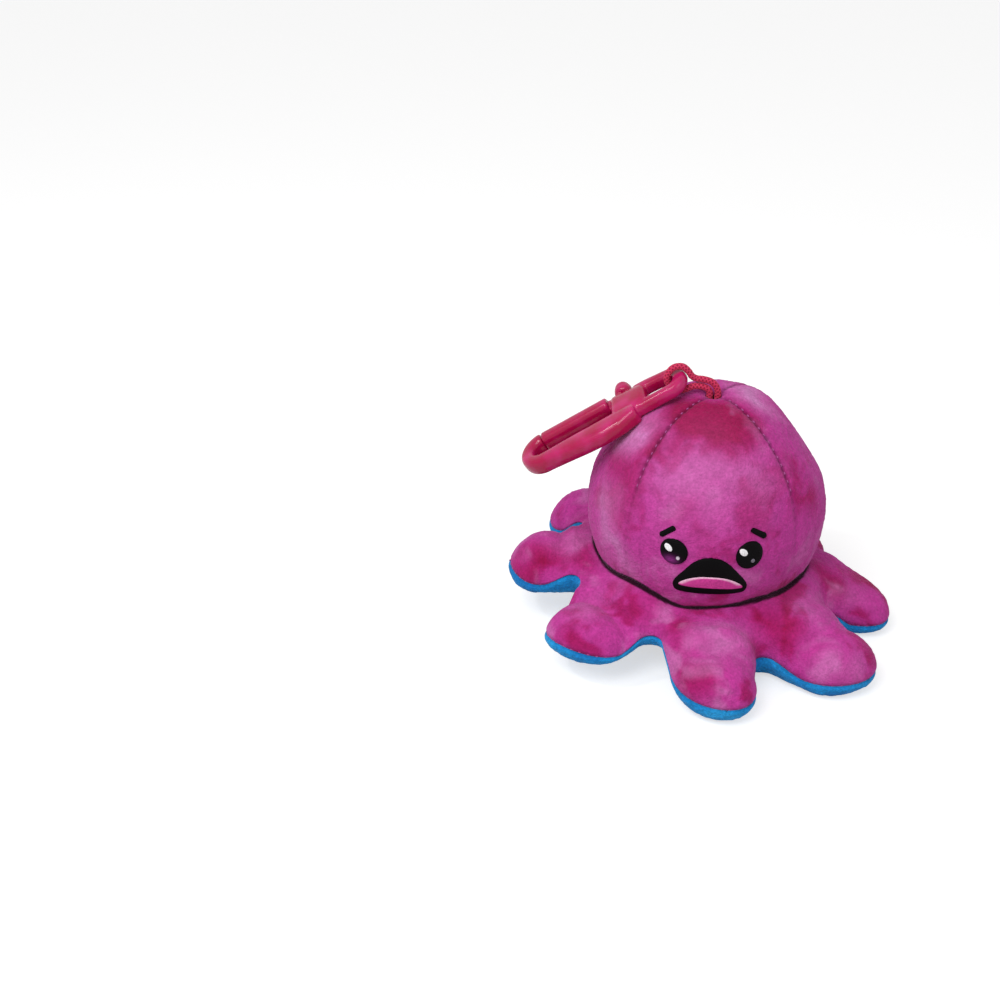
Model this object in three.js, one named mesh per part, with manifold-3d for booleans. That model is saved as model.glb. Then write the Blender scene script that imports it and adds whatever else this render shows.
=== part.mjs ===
// A small reversible plush octopus with a sad face outside, a happy face inside and a snap clip on its crown.
// Millimetres, +Z up. The origin is on the floor under the middle of the body, and the face looks along -Y.

import * as THREE from "three";
import { mergeVertices } from "three/addons/utils/BufferGeometryUtils.js";
import Module from "manifold-3d";

const wasm = await Module();
wasm.setup();

// Clearances and cloth
const GAP = 0.3; // between two pieces that touch
const FINENESS = 0.02; // corners that stand out less than this are dropped after a cut
const OVERRUN = 3; // how far a cutting shape runs past what it cuts
const FABRIC = 1.4; // velour with its pile
const THREAD = 0.6; // how thick a patch of satin stitch lies
const FELT = 0.8; // headband, flower and disc

// Head
const HEAD_RADIUS = 37.3; // at the middle of a panel
const HEAD_HALF_HEIGHT = 38.3;
const HEAD_CENTRE_Z = 40.6;
const NECK_Z = 24; // where head and skirt are drawn together
const SEAM_DEPTH = 1.2; // how far the four seams pull in
const CROWN_DIP = 1.2;
const CROWN_HOLE_RADIUS = 3.4; // the cord comes out here
const CROWN_POCKET_DEPTH = 4.6;
const CROWN_DIP_ANGLE = 9; // degrees
const PANELS = 4;

// Finger cavity
const CAVITY_RADIUS = 24;
const MOUTH_FLARE = 1.2;
const MOUTH_LIP_Z = 2.8;

// Skirt: the ring between the head and the eight arms
const SKIRT_RADIUS = 37.2;
const SKIRT_SEAM_Z = 9; // where the magenta and blue cloths are sewn together between the arms

// Arms
const ARMS = 8;
const ARM_REACH = 60.5; // from the toy's axis to an arm's tip
const ARM_HALF_WIDTH = 12.8; // at the rounded end
const ARM_SWELL_HALF_WIDTH = 14.2; // just outside the skirt
const ARM_ROOT_HALF_WIDTH = 12.6; // inside the socket
const ARM_HINGE_RADIUS = 42; // from the toy's axis to the line that an arm bends about
const ARM_HINGE_Z = 10.6;
const ARM_ROOT_RADIUS = 10.4; // the arm's rounded root turns inside the skirt's socket
const ARM_TIP_HEIGHT = 16.8; // top of the arm where its rounded end begins
const ARM_SEAM_ROOT_Z = 8.6;
const ARM_SEAM_TIP_Z = 4.8;
const ARM_FLAT = 0.5; // how deep the underside is flattened where it lies on the floor
const SOCKET_CLEARANCE = 0.5;
const ARM_LIFTS = [0, 0, 0, 0, 0, 26, 37, 26]; // degrees each arm is raised, counted anticlockwise from the front
const ARM_REACH_SHARES = [1.045, 1.065, 1.03, 0.99, 1.03, 1.05, 1.04, 1]; // of ARM_REACH
const ARM_BEND_SHARES = [0.075, 0.07, -0.045, 0.03, 0.02, 0.01, -0.03, -0.06]; // of ARM_REACH, tip moved sideways

// Snap clip, in its own plane: S runs from the eye to the claw's end, Y across
const CLIP_SLOPE = 33; // degrees below level, lying on the head's side
const CLIP_ROLL = 9; // degrees its near edge hangs down
const CLIP_THICKNESS = 5;
const CLIP_BEVEL = 1.3;
const CLIP_HALF_WIDTH = 8.3;
const CLIP_RAIL = 5.6;
const CLIP_EYE_S = -14.5; // middle of the bar that the cord goes round
const CLIP_BAR = 3.5;
const CLIP_EYE_HALF_WIDTH = 6;
const CLIP_EYE_LENGTH = 18;
const CLIP_END_S = 42;
const CLIP_REST_GAP = 1; // between the clip and the head's cloth
const PIVOT_S = 5.2;
const PIVOT_Y = 5.2;
const PIN_RADIUS = 1;
const PIN_CLEARANCE = 0.35;
const GATE_HUB_RADIUS = 2.9;
const GATE_HUB_THICKNESS = 1.8;
const GATE_SLOT_CLEARANCE = 0.35;
const GATE_SLOT_LENGTH = 19.9; // from behind the hub to past the collar
const GATE_ARM_WIDTH = 4.4;
const GATE_TAB_S = 6.2;
const GATE_TAB_Y = 11;
const GATE_TAB_RADIUS = 2.3;
const GATE_TAB_THICKNESS = 4.4;
const CLAW_NOSE_ANGLE = 52; // degrees of the claw's end arc past its farthest point

// Cord: a doubled loop from the crown to the clip's eye, in the plane of Y = 0
const CORD_DIAMETER = 2.1;
const CORD_ROUTE = [
  [1.2, 75.6], [1.2, 77], [1.25, 79], [0.6, 81], [-1, 82.5], [-3.4, 83.2], [-5.4, 83.4], [-6.9, 84.2], [-8, 85.7],
  [-9.6, 87.1], [-11.4, 87.2], [-12.8, 86.6], [-14, 85.1], [-14.4, 83.1], [-13.7, 81.2], [-12.3, 79.9],
  [-10.3, 79.4], [-8.3, 80], [-6.2, 80.9], [-3.8, 80.9], [-2, 80.2], [-1.25, 79], [-1.2, 77], [-1.2, 75.6],
];

// Outer face, in millimetres across the front panel from its middle, and degrees down from the crown
const EYE_HALF_WIDTH = 4.1;
const EYE_HALF_HEIGHT = 4.2;
const EYE_SPREAD = 11.3;
const EYE_ANGLE = 86.5;
const GLINT_RADIUS = 1;
const GLINT_ACROSS = -1.6;
const GLINT_UP = 1.1;
const BROW_SPREAD = 13.6;
const BROW_ANGLE = 77;
const BROW_LENGTH = 5;
const BROW_RISE = 2.6;
const BROW_WIDTH = 1.3;
const MOUTH_ANGLE = 105;
const MOUTH_HALF_WIDTH = 11.3;
const MOUTH_HEIGHT = 11.7;
const MOUTH_SAG = 1.2;
const TONGUE_HALF_WIDTH = 9.4;
const TONGUE_HEIGHT = 4.8;
const TONGUE_SAG = 0.2;
const TONGUE_RISE = 0.3;

// Inner face, on the front of the cavity
const WINK_SPREAD = 9.5;
const WINK_ANGLE = 92;
const WINK_LENGTH = 5;
const WINK_OPENING = 2.4;
const WINK_WIDTH = 1;
const SMILE_ANGLE = 103;
const SMILE_HALF_WIDTH = 4;
const SMILE_SAG = 2.6;
const CHEEK_SPREAD = 11.5;
const CHEEK_ANGLE = 103;
const CHEEK_HALF_WIDTH = 2.4;
const CHEEK_HALF_HEIGHT = 0.9;

// Headband and flower, inside the cavity's dome
const BAND_ANGLE = 50;
const BAND_WIDTH = 7.5;
const FLOWER_HALF_WIDTH = 10.5;
const FLOWER_HALF_HEIGHT = 9;
const FLOWER_PETALS = 8;
const FLOWER_SCALLOP = 0.9;
const DISC_HALF_WIDTH = 7;
const DISC_HALF_HEIGHT = 5.8;

// Fineness, in counts
const ROUND_STEPS = 32;
const CAVITY_STEPS = 24;
const PANEL_STEPS = 9;
const ARM_TOP_STEPS = 6;
const ARM_BOTTOM_STEPS = 4;
const SOCKET_STEPS = 5;
const PATCH_STEPS = 14;
const CLIP_CURVE_STEPS = 6;
const CORD_STEPS = 40;
const CORD_HALF_SIDES = 4;

// Colours
const MAGENTA = 0xb83c94;
const BLUE = 0x2490d6;
const BLACK_THREAD = 0x131013;
const CLIP_PINK = 0xc4246f;

const DEG = Math.PI / 180;
const FRONT = -Math.PI / 2;
const LINING_OUTSIDE = FABRIC + GAP; // from the cavity's surface to the stuffing

// Helpers for solids

function toSolid(geometry) {
  const bare = geometry.clone();
  bare.deleteAttribute("normal");
  bare.deleteAttribute("uv");
  const merged = mergeVertices(bare, 1e-4);
  const kept = [];
  const index = merged.index.array;
  for (let i = 0; i < index.length; i += 3) {
    const [a, b, c] = [index[i], index[i + 1], index[i + 2]];
    if (a !== b && b !== c && c !== a) kept.push(a, b, c);
  }
  return new wasm.Manifold(
    new wasm.Mesh({
      numProp: 3,
      vertProperties: merged.attributes.position.array,
      triVerts: new Uint32Array(kept),
    }),
  );
}

function toGeometry(solid) {
  const mesh = solid.getMesh();
  const geometry = new THREE.BufferGeometry();
  geometry.setAttribute("position", new THREE.BufferAttribute(new Float32Array(mesh.vertProperties), 3));
  geometry.setIndex(new THREE.BufferAttribute(new Uint32Array(mesh.triVerts), 1));
  const flat = geometry.toNonIndexed();
  flat.computeVertexNormals();
  return flat;
}

function cut(geometry, ...tools) {
  let solid = toSolid(geometry);
  for (const tool of tools) solid = solid.subtract(toSolid(tool));
  return toGeometry(solid.simplify(FINENESS));
}

function join(geometry, ...others) {
  let solid = toSolid(geometry);
  for (const other of others) solid = solid.add(toSolid(other));
  return toGeometry(solid);
}

// Triangles from a list of points and of corner numbers, dropping those that have shrunk to nothing.
function fromFaces(points, faces) {
  const geometry = new THREE.BufferGeometry();
  geometry.setAttribute("position", new THREE.BufferAttribute(new Float32Array(points.flat()), 3));
  geometry.setIndex(faces);
  return toGeometry(toSolid(geometry));
}

// A sheet of cloth: place(u, v, inset) gives a point, and the sheet lies between two insets.
function sheet(place, [u0, u1], [v0, v1], uSteps, vSteps, outer, inner) {
  const points = [];
  for (const inset of [outer, inner])
    for (let i = 0; i <= uSteps; i++)
      for (let j = 0; j <= vSteps; j++) {
        const u = u0 + ((u1 - u0) * i) / uSteps;
        const v = v0 + ((v1 - v0) * j) / vSteps;
        points.push(place(u, v, inset).toArray());
      }
  const layer = (uSteps + 1) * (vSteps + 1);
  const at = (i, j, k) => k * layer + i * (vSteps + 1) + j;
  const faces = [];
  const quad = (a, b, c, d) => faces.push(a, b, c, a, c, d);
  for (let i = 0; i < uSteps; i++)
    for (let j = 0; j < vSteps; j++) {
      quad(at(i, j, 0), at(i + 1, j, 0), at(i + 1, j + 1, 0), at(i, j + 1, 0));
      quad(at(i, j, 1), at(i, j + 1, 1), at(i + 1, j + 1, 1), at(i + 1, j, 1));
    }
  for (let i = 0; i < uSteps; i++) {
    quad(at(i, 0, 1), at(i + 1, 0, 1), at(i + 1, 0, 0), at(i, 0, 0));
    quad(at(i, vSteps, 0), at(i + 1, vSteps, 0), at(i + 1, vSteps, 1), at(i, vSteps, 1));
  }
  for (let j = 0; j < vSteps; j++) {
    quad(at(0, j, 0), at(0, j + 1, 0), at(0, j + 1, 1), at(0, j, 1));
    quad(at(uSteps, j, 1), at(uSteps, j + 1, 1), at(uSteps, j + 1, 0), at(uSteps, j, 0));
  }
  return outward(points, faces);
}

// A closed body through rings of points, each end closed by a fan to its middle.
function loft(rings) {
  const points = rings.flat().map((p) => p.toArray());
  const n = rings[0].length;
  const faces = [];
  for (let i = 0; i + 1 < rings.length; i++)
    for (let j = 0; j < n; j++) {
      const a = i * n + j;
      const b = i * n + ((j + 1) % n);
      faces.push(a, b, b + n, a, b + n, a + n);
    }
  for (const [ring, turned] of [[0, true], [rings.length - 1, false]]) {
    const middle = rings[ring].reduce((sum, p) => sum.add(p), new THREE.Vector3()).divideScalar(n);
    points.push(middle.toArray());
    for (let j = 0; j < n; j++) {
      const a = ring * n + j;
      const b = ring * n + ((j + 1) % n);
      faces.push(...(turned ? [b, a, points.length - 1] : [a, b, points.length - 1]));
    }
  }
  return outward(points, faces);
}

// Turns the faces round where the body came out inside out.
function outward(points, faces) {
  let volume = 0;
  const corners = [new THREE.Vector3(), new THREE.Vector3(), new THREE.Vector3()];
  for (let i = 0; i < faces.length; i += 3) {
    corners.forEach((corner, k) => corner.fromArray(points[faces[i + k]]));
    volume += corners[0].dot(corners[1].cross(corners[2]));
  }
  return fromFaces(points, volume < 0 ? faces.slice().reverse() : faces);
}

// A body of revolution about Z from a closed profile of [radius, height] pairs.
function revolve(profile, steps) {
  const closed = [...profile, profile[0]].map(([r, z]) => new THREE.Vector2(r, z));
  let area = 0;
  for (let i = 0; i + 1 < closed.length; i++) area += closed[i].cross(closed[i + 1]);
  if (area < 0) closed.reverse();
  const geometry = new THREE.LatheGeometry(closed, steps);
  return geometry.rotateX(Math.PI / 2).rotateZ(Math.PI / steps);
}

// A profile moved square to itself, to its left hand as it runs.
function shifted(profile, distance) {
  return profile.map(([r, z], i) => {
    const [r0, z0] = profile[Math.max(i - 1, 0)];
    const [r1, z1] = profile[Math.min(i + 1, profile.length - 1)];
    const length = Math.hypot(r1 - r0, z1 - z0);
    return [r - (distance * (z1 - z0)) / length, z + (distance * (r1 - r0)) / length];
  });
}

function smooth(x, from, to) {
  const t = THREE.MathUtils.clamp((x - from) / (to - from), 0, 1);
  return t * t * (3 - 2 * t);
}

function piece(name, geometry, color, roughness = 0.95, metalness = 0) {
  const mesh = new THREE.Mesh(geometry, new THREE.MeshStandardMaterial({ color, roughness, metalness }));
  mesh.name = name;
  return mesh;
}

// Head

// The ball's surface: around is the angle about Z, down the angle from the crown, both in radians.
// Each seam pulls the ball in, and the crown is drawn down round the cord's hole.
function headPoint(around, down, inset) {
  const pull = (SEAM_DEPTH * (1 - Math.cos(PANELS * (around - FRONT)))) / 2;
  const radius = HEAD_RADIUS - inset - pull * Math.sin(down);
  const dip = CROWN_DIP * Math.exp(-((down / (CROWN_DIP_ANGLE * DEG)) ** 2));
  return new THREE.Vector3(
    radius * Math.sin(down) * Math.cos(around),
    radius * Math.sin(down) * Math.sin(around),
    HEAD_CENTRE_Z + (HEAD_HALF_HEIGHT - inset) * Math.cos(down) - dip,
  );
}

const NECK_ANGLE = Math.acos((NECK_Z - HEAD_CENTRE_Z) / HEAD_HALF_HEIGHT);
const CROWN_ANGLE = Math.asin(CROWN_HOLE_RADIUS / HEAD_RADIUS);
const QUARTER = (2 * Math.PI) / PANELS;

// Half the seam's gap as an angle, so that neighbouring panels keep GAP between them at the widest.
const seamAngle = (radius) => GAP / 2 / radius;

function headPanel(index) {
  const middle = FRONT + index * QUARTER;
  const reach = QUARTER / 2;
  const place = (u, v, inset) => {
    const down = CROWN_ANGLE + (NECK_ANGLE - CROWN_ANGLE) * u;
    const narrow = seamAngle(HEAD_RADIUS * Math.sin(down));
    return headPoint(middle + v * (reach - narrow), down, inset);
  };
  return sheet(place, [0, 1], [-1, 1], PANEL_STEPS, ROUND_STEPS / PANELS, 0, FABRIC);
}

// The solid ball down to a level floor, at an inset from the cloth's outside.
function headBall(inset, steps, floor) {
  const rings = [];
  const lowest = Math.acos((floor - HEAD_CENTRE_Z) / (HEAD_HALF_HEIGHT - inset));
  for (let i = 0; i <= PANEL_STEPS; i++) {
    const down = CROWN_ANGLE / 2 + (lowest - CROWN_ANGLE / 2) * (i / PANEL_STEPS);
    rings.push(
      Array.from({ length: steps }, (_, j) => headPoint(FRONT + (2 * Math.PI * j) / steps, down, inset)),
    );
  }
  return loft(rings);
}

// The finger cavity's surface: a dome on a straight wall that flares at the mouth.
function cavityPoint(around, t, outset) {
  let radius = CAVITY_RADIUS;
  let z = HEAD_CENTRE_Z;
  if (t < 0.5) {
    const down = Math.PI * t;
    radius = (CAVITY_RADIUS + outset) * Math.sin(down);
    z += (CAVITY_RADIUS + outset) * Math.cos(down);
  } else {
    const fall = (t - 0.5) * 2;
    radius += outset + MOUTH_FLARE * fall ** 4;
    z += (MOUTH_LIP_Z - HEAD_CENTRE_Z) * fall;
  }
  return new THREE.Vector3(radius * Math.cos(around), radius * Math.sin(around), z);
}

const CAVITY_SHARES = [0.02, 0.1, 0.2, 0.3, 0.4, 0.5, 0.72, 0.88, 1]; // stations of the dome, then of the wall

function liningPanel(index) {
  const middle = FRONT + index * QUARTER;
  const place = (u, v, outset) => {
    const share = CAVITY_SHARES[Math.round(u)];
    const narrow = seamAngle(CAVITY_RADIUS * Math.sin(Math.PI * Math.min(share, 0.5)));
    return cavityPoint(middle + v * (QUARTER / 2 - narrow), share, outset);
  };
  const steps = CAVITY_SHARES.length - 1;
  return sheet(place, [0, steps], [-1, 1], steps, CAVITY_STEPS / PANELS, 0, FABRIC);
}

// The cavity as a solid tool, outset from its surface and run past the floor.
function cavityTool(outset) {
  const arounds = Array.from({ length: CAVITY_STEPS }, (_, j) => FRONT + (2 * Math.PI * j) / CAVITY_STEPS);
  const rings = CAVITY_SHARES.map((share) => arounds.map((around) => cavityPoint(around, share, outset)));
  rings.push(rings[rings.length - 1].map((p) => p.clone().setZ(-OVERRUN)));
  return loft(rings);
}

function headFilling() {
  const ball = headBall(LINING_OUTSIDE, CAVITY_STEPS, NECK_Z + GAP / 2);
  const pocket = new THREE.CylinderGeometry(
    CROWN_HOLE_RADIUS,
    CROWN_HOLE_RADIUS,
    CROWN_POCKET_DEPTH * 2,
    ARMS,
  )
    .rotateX(Math.PI / 2)
    .translate(0, 0, HEAD_CENTRE_Z + HEAD_HALF_HEIGHT);
  return cut(ball, cavityTool(LINING_OUTSIDE), pocket);
}

// Skirt

const SKIRT_TOP_SHARES = [
  [0.86, 1.06], [0.925, 1.01], [0.975, 0.92], [1, 0.76], [1, 0.56],
]; // of SKIRT_RADIUS and of NECK_Z
const SKIRT_BOTTOM_SHARES = [
  [0.97, 0.5], [0.92, 0.13],
]; // of SKIRT_RADIUS and of SKIRT_SEAM_Z
const SKIRT_EDGE_SHARE = 0.987; // of SKIRT_RADIUS, where the cloths meet
const SKIRT_FOOT_SHARE = 0.85; // of SKIRT_RADIUS, where the underside reaches the floor
const LIP_SHARE = 1 / 3; // of MOUTH_LIP_Z, where the lip turns up
const SKIRT_EDGE = SKIRT_RADIUS * SKIRT_EDGE_SHARE;
const LIP_RADIUS = CAVITY_RADIUS + MOUTH_FLARE;
const SKIRT_TOP_PROFILE = [
  ...SKIRT_TOP_SHARES.map(([r, z]) => [r * SKIRT_RADIUS, z * NECK_Z]),
  [SKIRT_EDGE, SKIRT_SEAM_Z + GAP / 2],
];
const SKIRT_BOTTOM_PROFILE = [
  [SKIRT_EDGE, SKIRT_SEAM_Z - GAP / 2],
  ...SKIRT_BOTTOM_SHARES.map(([r, z]) => [r * SKIRT_RADIUS, z * SKIRT_SEAM_Z]),
  [SKIRT_RADIUS * SKIRT_FOOT_SHARE, 0],
  [LIP_RADIUS + FABRIC, 0],
  [LIP_RADIUS, MOUTH_LIP_Z * LIP_SHARE],
  [LIP_RADIUS, MOUTH_LIP_Z - GAP],
];

// The space that the head takes out of the skirt.
const headClearance = headBall(-GAP, ROUND_STEPS, NECK_Z - GAP / 2);

// The space that one arm's rounded root turns in: a round socket, open outwards.
function socketTool(index) {
  const radius = ARM_ROOT_RADIUS + SOCKET_CLEARANCE;
  const outline = new THREE.Shape();
  outline.moveTo(ARM_REACH, -ARM_HINGE_Z - OVERRUN);
  outline.lineTo(ARM_REACH, radius);
  outline.lineTo(0, radius);
  outline.absarc(0, 0, radius, Math.PI / 2, (3 * Math.PI) / 2, false);
  outline.lineTo(0, -ARM_HINGE_Z - OVERRUN);
  const width = 2 * (ARM_ROOT_HALF_WIDTH + SOCKET_CLEARANCE);
  return new THREE.ExtrudeGeometry(outline, { depth: width, bevelEnabled: false, curveSegments: SOCKET_STEPS })
    .translate(0, 0, -width / 2)
    .rotateX(Math.PI / 2)
    .translate(ARM_HINGE_RADIUS, 0, ARM_HINGE_Z)
    .rotateZ(armAngle(index));
}

const armAngle = (index) => FRONT + (2 * Math.PI * index) / ARMS;
const socketTools = Array.from({ length: ARMS }, (_, index) => socketTool(index));

function skirtTop() {
  const ring = revolve([...SKIRT_TOP_PROFILE, ...shifted(SKIRT_TOP_PROFILE, -FABRIC).reverse()], ROUND_STEPS);
  return cut(ring, headClearance, ...socketTools);
}

function skirtBottom() {
  const ring = revolve([...SKIRT_BOTTOM_PROFILE, ...shifted(SKIRT_BOTTOM_PROFILE, -FABRIC).reverse()], ROUND_STEPS);
  return cut(ring, ...socketTools);
}

function skirtFilling() {
  const outside = [
    ...shifted(SKIRT_TOP_PROFILE, -LINING_OUTSIDE),
    ...shifted(SKIRT_BOTTOM_PROFILE, -LINING_OUTSIDE).slice(1, -2),
  ];
  const wall = CAVITY_RADIUS + LINING_OUTSIDE;
  const ring = revolve([...outside, [wall, MOUTH_LIP_Z + GAP], [wall, NECK_Z + OVERRUN / 2]], ROUND_STEPS);
  return cut(ring, headClearance, cavityTool(LINING_OUTSIDE), ...socketTools);
}

// Arms: in a frame whose origin is on the hinge line, X outwards and Y across

const ROOT_STATION_SHARES = [-0.97, -0.8, -0.5, -0.2]; // of ARM_ROOT_RADIUS, towards the socket
const ARM_STATION_SHARES = [0.05, 0.25, 0.45, 0.65, 0.82, 0.93]; // of an arm's length, short of its tip
const SEAM_TURN = 0.03; // radians from the seam line to a cloth's edge

// One arm's length from the hinge line, where its round end begins, and its tip's shift sideways.
function armSizes(index) {
  const length = ARM_REACH * ARM_REACH_SHARES[index] - ARM_HINGE_RADIUS;
  return { length, roundStart: length - ARM_HALF_WIDTH, bend: ARM_REACH * ARM_BEND_SHARES[index] };
}

// Half the arm's width: narrow in its socket, widest just outside it, then tapering to the round end.
function armHalfWidth(x, roundStart) {
  const swell = smooth(x, -ARM_ROOT_RADIUS / 2, 0);
  const taper = smooth(x, 0, roundStart);
  const outer = THREE.MathUtils.lerp(ARM_SWELL_HALF_WIDTH, ARM_HALF_WIDTH, taper);
  return THREE.MathUtils.lerp(ARM_ROOT_HALF_WIDTH, outer, swell);
}

// One point of an arm, at station s and at an angle about the arm's own line. The section bulges above the
// seam and is flattened below it; it follows the round root near the hinge and shrinks along the round end.
function armPoint({ length, roundStart, bend }, s, turn, inset) {
  const root = ARM_ROOT_RADIUS - inset;
  const past = Math.max(s - roundStart, 0) / ARM_HALF_WIDTH;
  const x = s < 0 ? (s * root) / ARM_ROOT_RADIUS : Math.min(s, roundStart) + past * (ARM_HALF_WIDTH - inset);
  const shrink = Math.sqrt(Math.max(1 - past ** 2, 0));
  const back = Math.sqrt(Math.max(1 - (Math.min(x, 0) / root) ** 2, 0));
  const outwards = smooth(x, 0, roundStart);
  const seam = THREE.MathUtils.lerp(ARM_SEAM_ROOT_Z, ARM_SEAM_TIP_Z, outwards) - ARM_HINGE_Z;
  const rise = THREE.MathUtils.lerp(root, ARM_TIP_HEIGHT - ARM_HINGE_Z - inset, outwards);
  const fall = THREE.MathUtils.lerp(root, ARM_HINGE_Z + ARM_FLAT - inset, outwards);
  const above = (rise * back - seam) * shrink ** 1.2;
  const below = (fall * back + seam) * shrink ** 0.6;
  const sine = Math.sin(turn);
  const z = sine > 0 ? seam + above * sine ** 0.85 : seam - below * Math.sqrt(-sine);
  const sideways = bend * (Math.max(x, 0) / length) ** 2;
  return new THREE.Vector3(
    x,
    sideways + (armHalfWidth(x, roundStart) - inset) * shrink * Math.cos(turn),
    Math.max(z, inset - ARM_HINGE_Z),
  );
}

function armStations(length) {
  const roots = ROOT_STATION_SHARES.map((share) => share * ARM_ROOT_RADIUS);
  return [...roots, ...ARM_STATION_SHARES.map((share) => share * length)];
}

// The cloth stops short of the root's back, which stays inside the socket.
function armSkin(index, turns, steps) {
  const sizes = armSizes(index);
  const stations = [...armStations(sizes.length).slice(1), sizes.length];
  const place = (u, turn, inset) => armPoint(sizes, stations[Math.round(u)], turn, inset);
  return sheet(place, [0, stations.length - 1], turns, stations.length - 1, steps, 0, FABRIC);
}

function armTop(index) {
  return armSkin(index, [SEAM_TURN, Math.PI - SEAM_TURN], ARM_TOP_STEPS);
}

function armBottom(index) {
  return armSkin(index, [SEAM_TURN / 2 - Math.PI, -SEAM_TURN / 2], ARM_BOTTOM_STEPS);
}

// The stuffing's corners lie behind the cloths' corners, so that the gap between them is even.
function armFilling(index) {
  const sizes = armSizes(index);
  const turns = [
    ...Array.from({ length: ARM_TOP_STEPS }, (_, i) => (Math.PI * i) / ARM_TOP_STEPS),
    ...Array.from({ length: ARM_BOTTOM_STEPS }, (_, i) => Math.PI * (1 + i / ARM_BOTTOM_STEPS)),
  ];
  const rings = armStations(sizes.length).map((s) => turns.map((turn) => armPoint(sizes, s, turn, LINING_OUTSIDE)));
  return loft(rings);
}

// Embroidery and felt: flat patches and ribbons laid on a curved surface

// lay(across, up, inset) puts a flat place, in millimetres, onto the surface.
function onHead(angle) {
  return (across, up, inset) => {
    const down = angle * DEG - up / HEAD_HALF_HEIGHT;
    return headPoint(FRONT + across / (HEAD_RADIUS * Math.sin(down)), down, inset);
  };
}

// On the cavity's dome and wall, where across runs towards +X and up towards the crown.
function inCavity(angle) {
  return (across, up, inset) => {
    const down = angle * DEG - up / CAVITY_RADIUS;
    const radius = CAVITY_RADIUS + inset;
    const level = Math.min(down, Math.PI / 2);
    const below = Math.max(down - Math.PI / 2, 0) * CAVITY_RADIUS;
    const around = FRONT + across / (CAVITY_RADIUS * Math.sin(level));
    return new THREE.Vector3(
      radius * Math.sin(level) * Math.cos(around),
      radius * Math.sin(level) * Math.sin(around),
      HEAD_CENTRE_Z + radius * Math.cos(level) - below,
    );
  };
}

const PATCH_RING_SHARES = [0.6, 1]; // of the way from a patch's middle to its outline

// A patch inside an outline that is a function of the angle about its middle, between two insets.
function patch(lay, across, up, outline, outer, inner, steps = PATCH_STEPS) {
  const points = [];
  for (const inset of [outer, inner]) {
    points.push(lay(across, up, inset).toArray());
    for (const share of PATCH_RING_SHARES)
      for (let j = 0; j < steps; j++) {
        const [dx, dy] = outline((2 * Math.PI * j) / steps);
        points.push(lay(across + dx * share, up + dy * share, inset).toArray());
      }
  }
  const layer = 1 + PATCH_RING_SHARES.length * steps;
  const faces = [];
  for (let j = 0; j < steps; j++) {
    const k = (j + 1) % steps;
    for (const [base, flip] of [[0, false], [layer, true]]) {
      const [a, b, c, d] = [base + 1 + j, base + 1 + k, base + 1 + steps + k, base + 1 + steps + j];
      const tris = [base, a, b, a, d, c, a, c, b];
      faces.push(...(flip ? tris.reverse() : tris));
    }
    const [p, q] = [1 + steps + j, 1 + steps + k];
    faces.push(p, q + layer, q, p, p + layer, q + layer);
  }
  return outward(points, faces);
}

const ellipse = (halfWidth, halfHeight, tilt = 0) => (a) => {
  const [x, y] = [halfWidth * Math.cos(a), halfHeight * Math.sin(a)];
  return [x * Math.cos(tilt) - y * Math.sin(tilt), x * Math.sin(tilt) + y * Math.cos(tilt)];
};

// A dome over a shallow sag, as a mouth turned down or a tongue.
const dome = (halfWidth, height, sag) => (a) => {
  const y = Math.sin(a);
  return [halfWidth * Math.sign(Math.cos(a)) * Math.abs(Math.cos(a)) ** 0.8, y > 0 ? height * y : sag * y];
};

const scalloped = (halfWidth, halfHeight) => (a) => {
  const wave = 1 + (FLOWER_SCALLOP / halfWidth) * Math.cos(FLOWER_PETALS * a);
  return [halfWidth * wave * Math.cos(a), halfHeight * wave * Math.sin(a)];
};

// A ribbon of stitches along a line of flat places.
function ribbon(lay, line, width, outer, inner) {
  const place = (u, v, inset) => {
    const i = Math.min(Math.floor(u * (line.length - 1)), line.length - 2);
    const t = u * (line.length - 1) - i;
    const [a, b] = [line[i], line[i + 1]];
    const before = line[Math.max(i - (t === 0 ? 1 : 0), 0)];
    const along = new THREE.Vector2(b[0] - before[0], b[1] - before[1]).normalize();
    const x = a[0] + (b[0] - a[0]) * t - (along.y * v * width) / 2;
    const y = a[1] + (b[1] - a[1]) * t + (along.x * v * width) / 2;
    return lay(x, y, inset);
  };
  return sheet(place, [0, 1], [-1, 1], line.length - 1, 2, outer, inner);
}

const UNDER_THREAD = [-GAP - THREAD, -GAP];
const OVER_THREAD = [-2 * (GAP + THREAD), -2 * GAP - THREAD];

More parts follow.
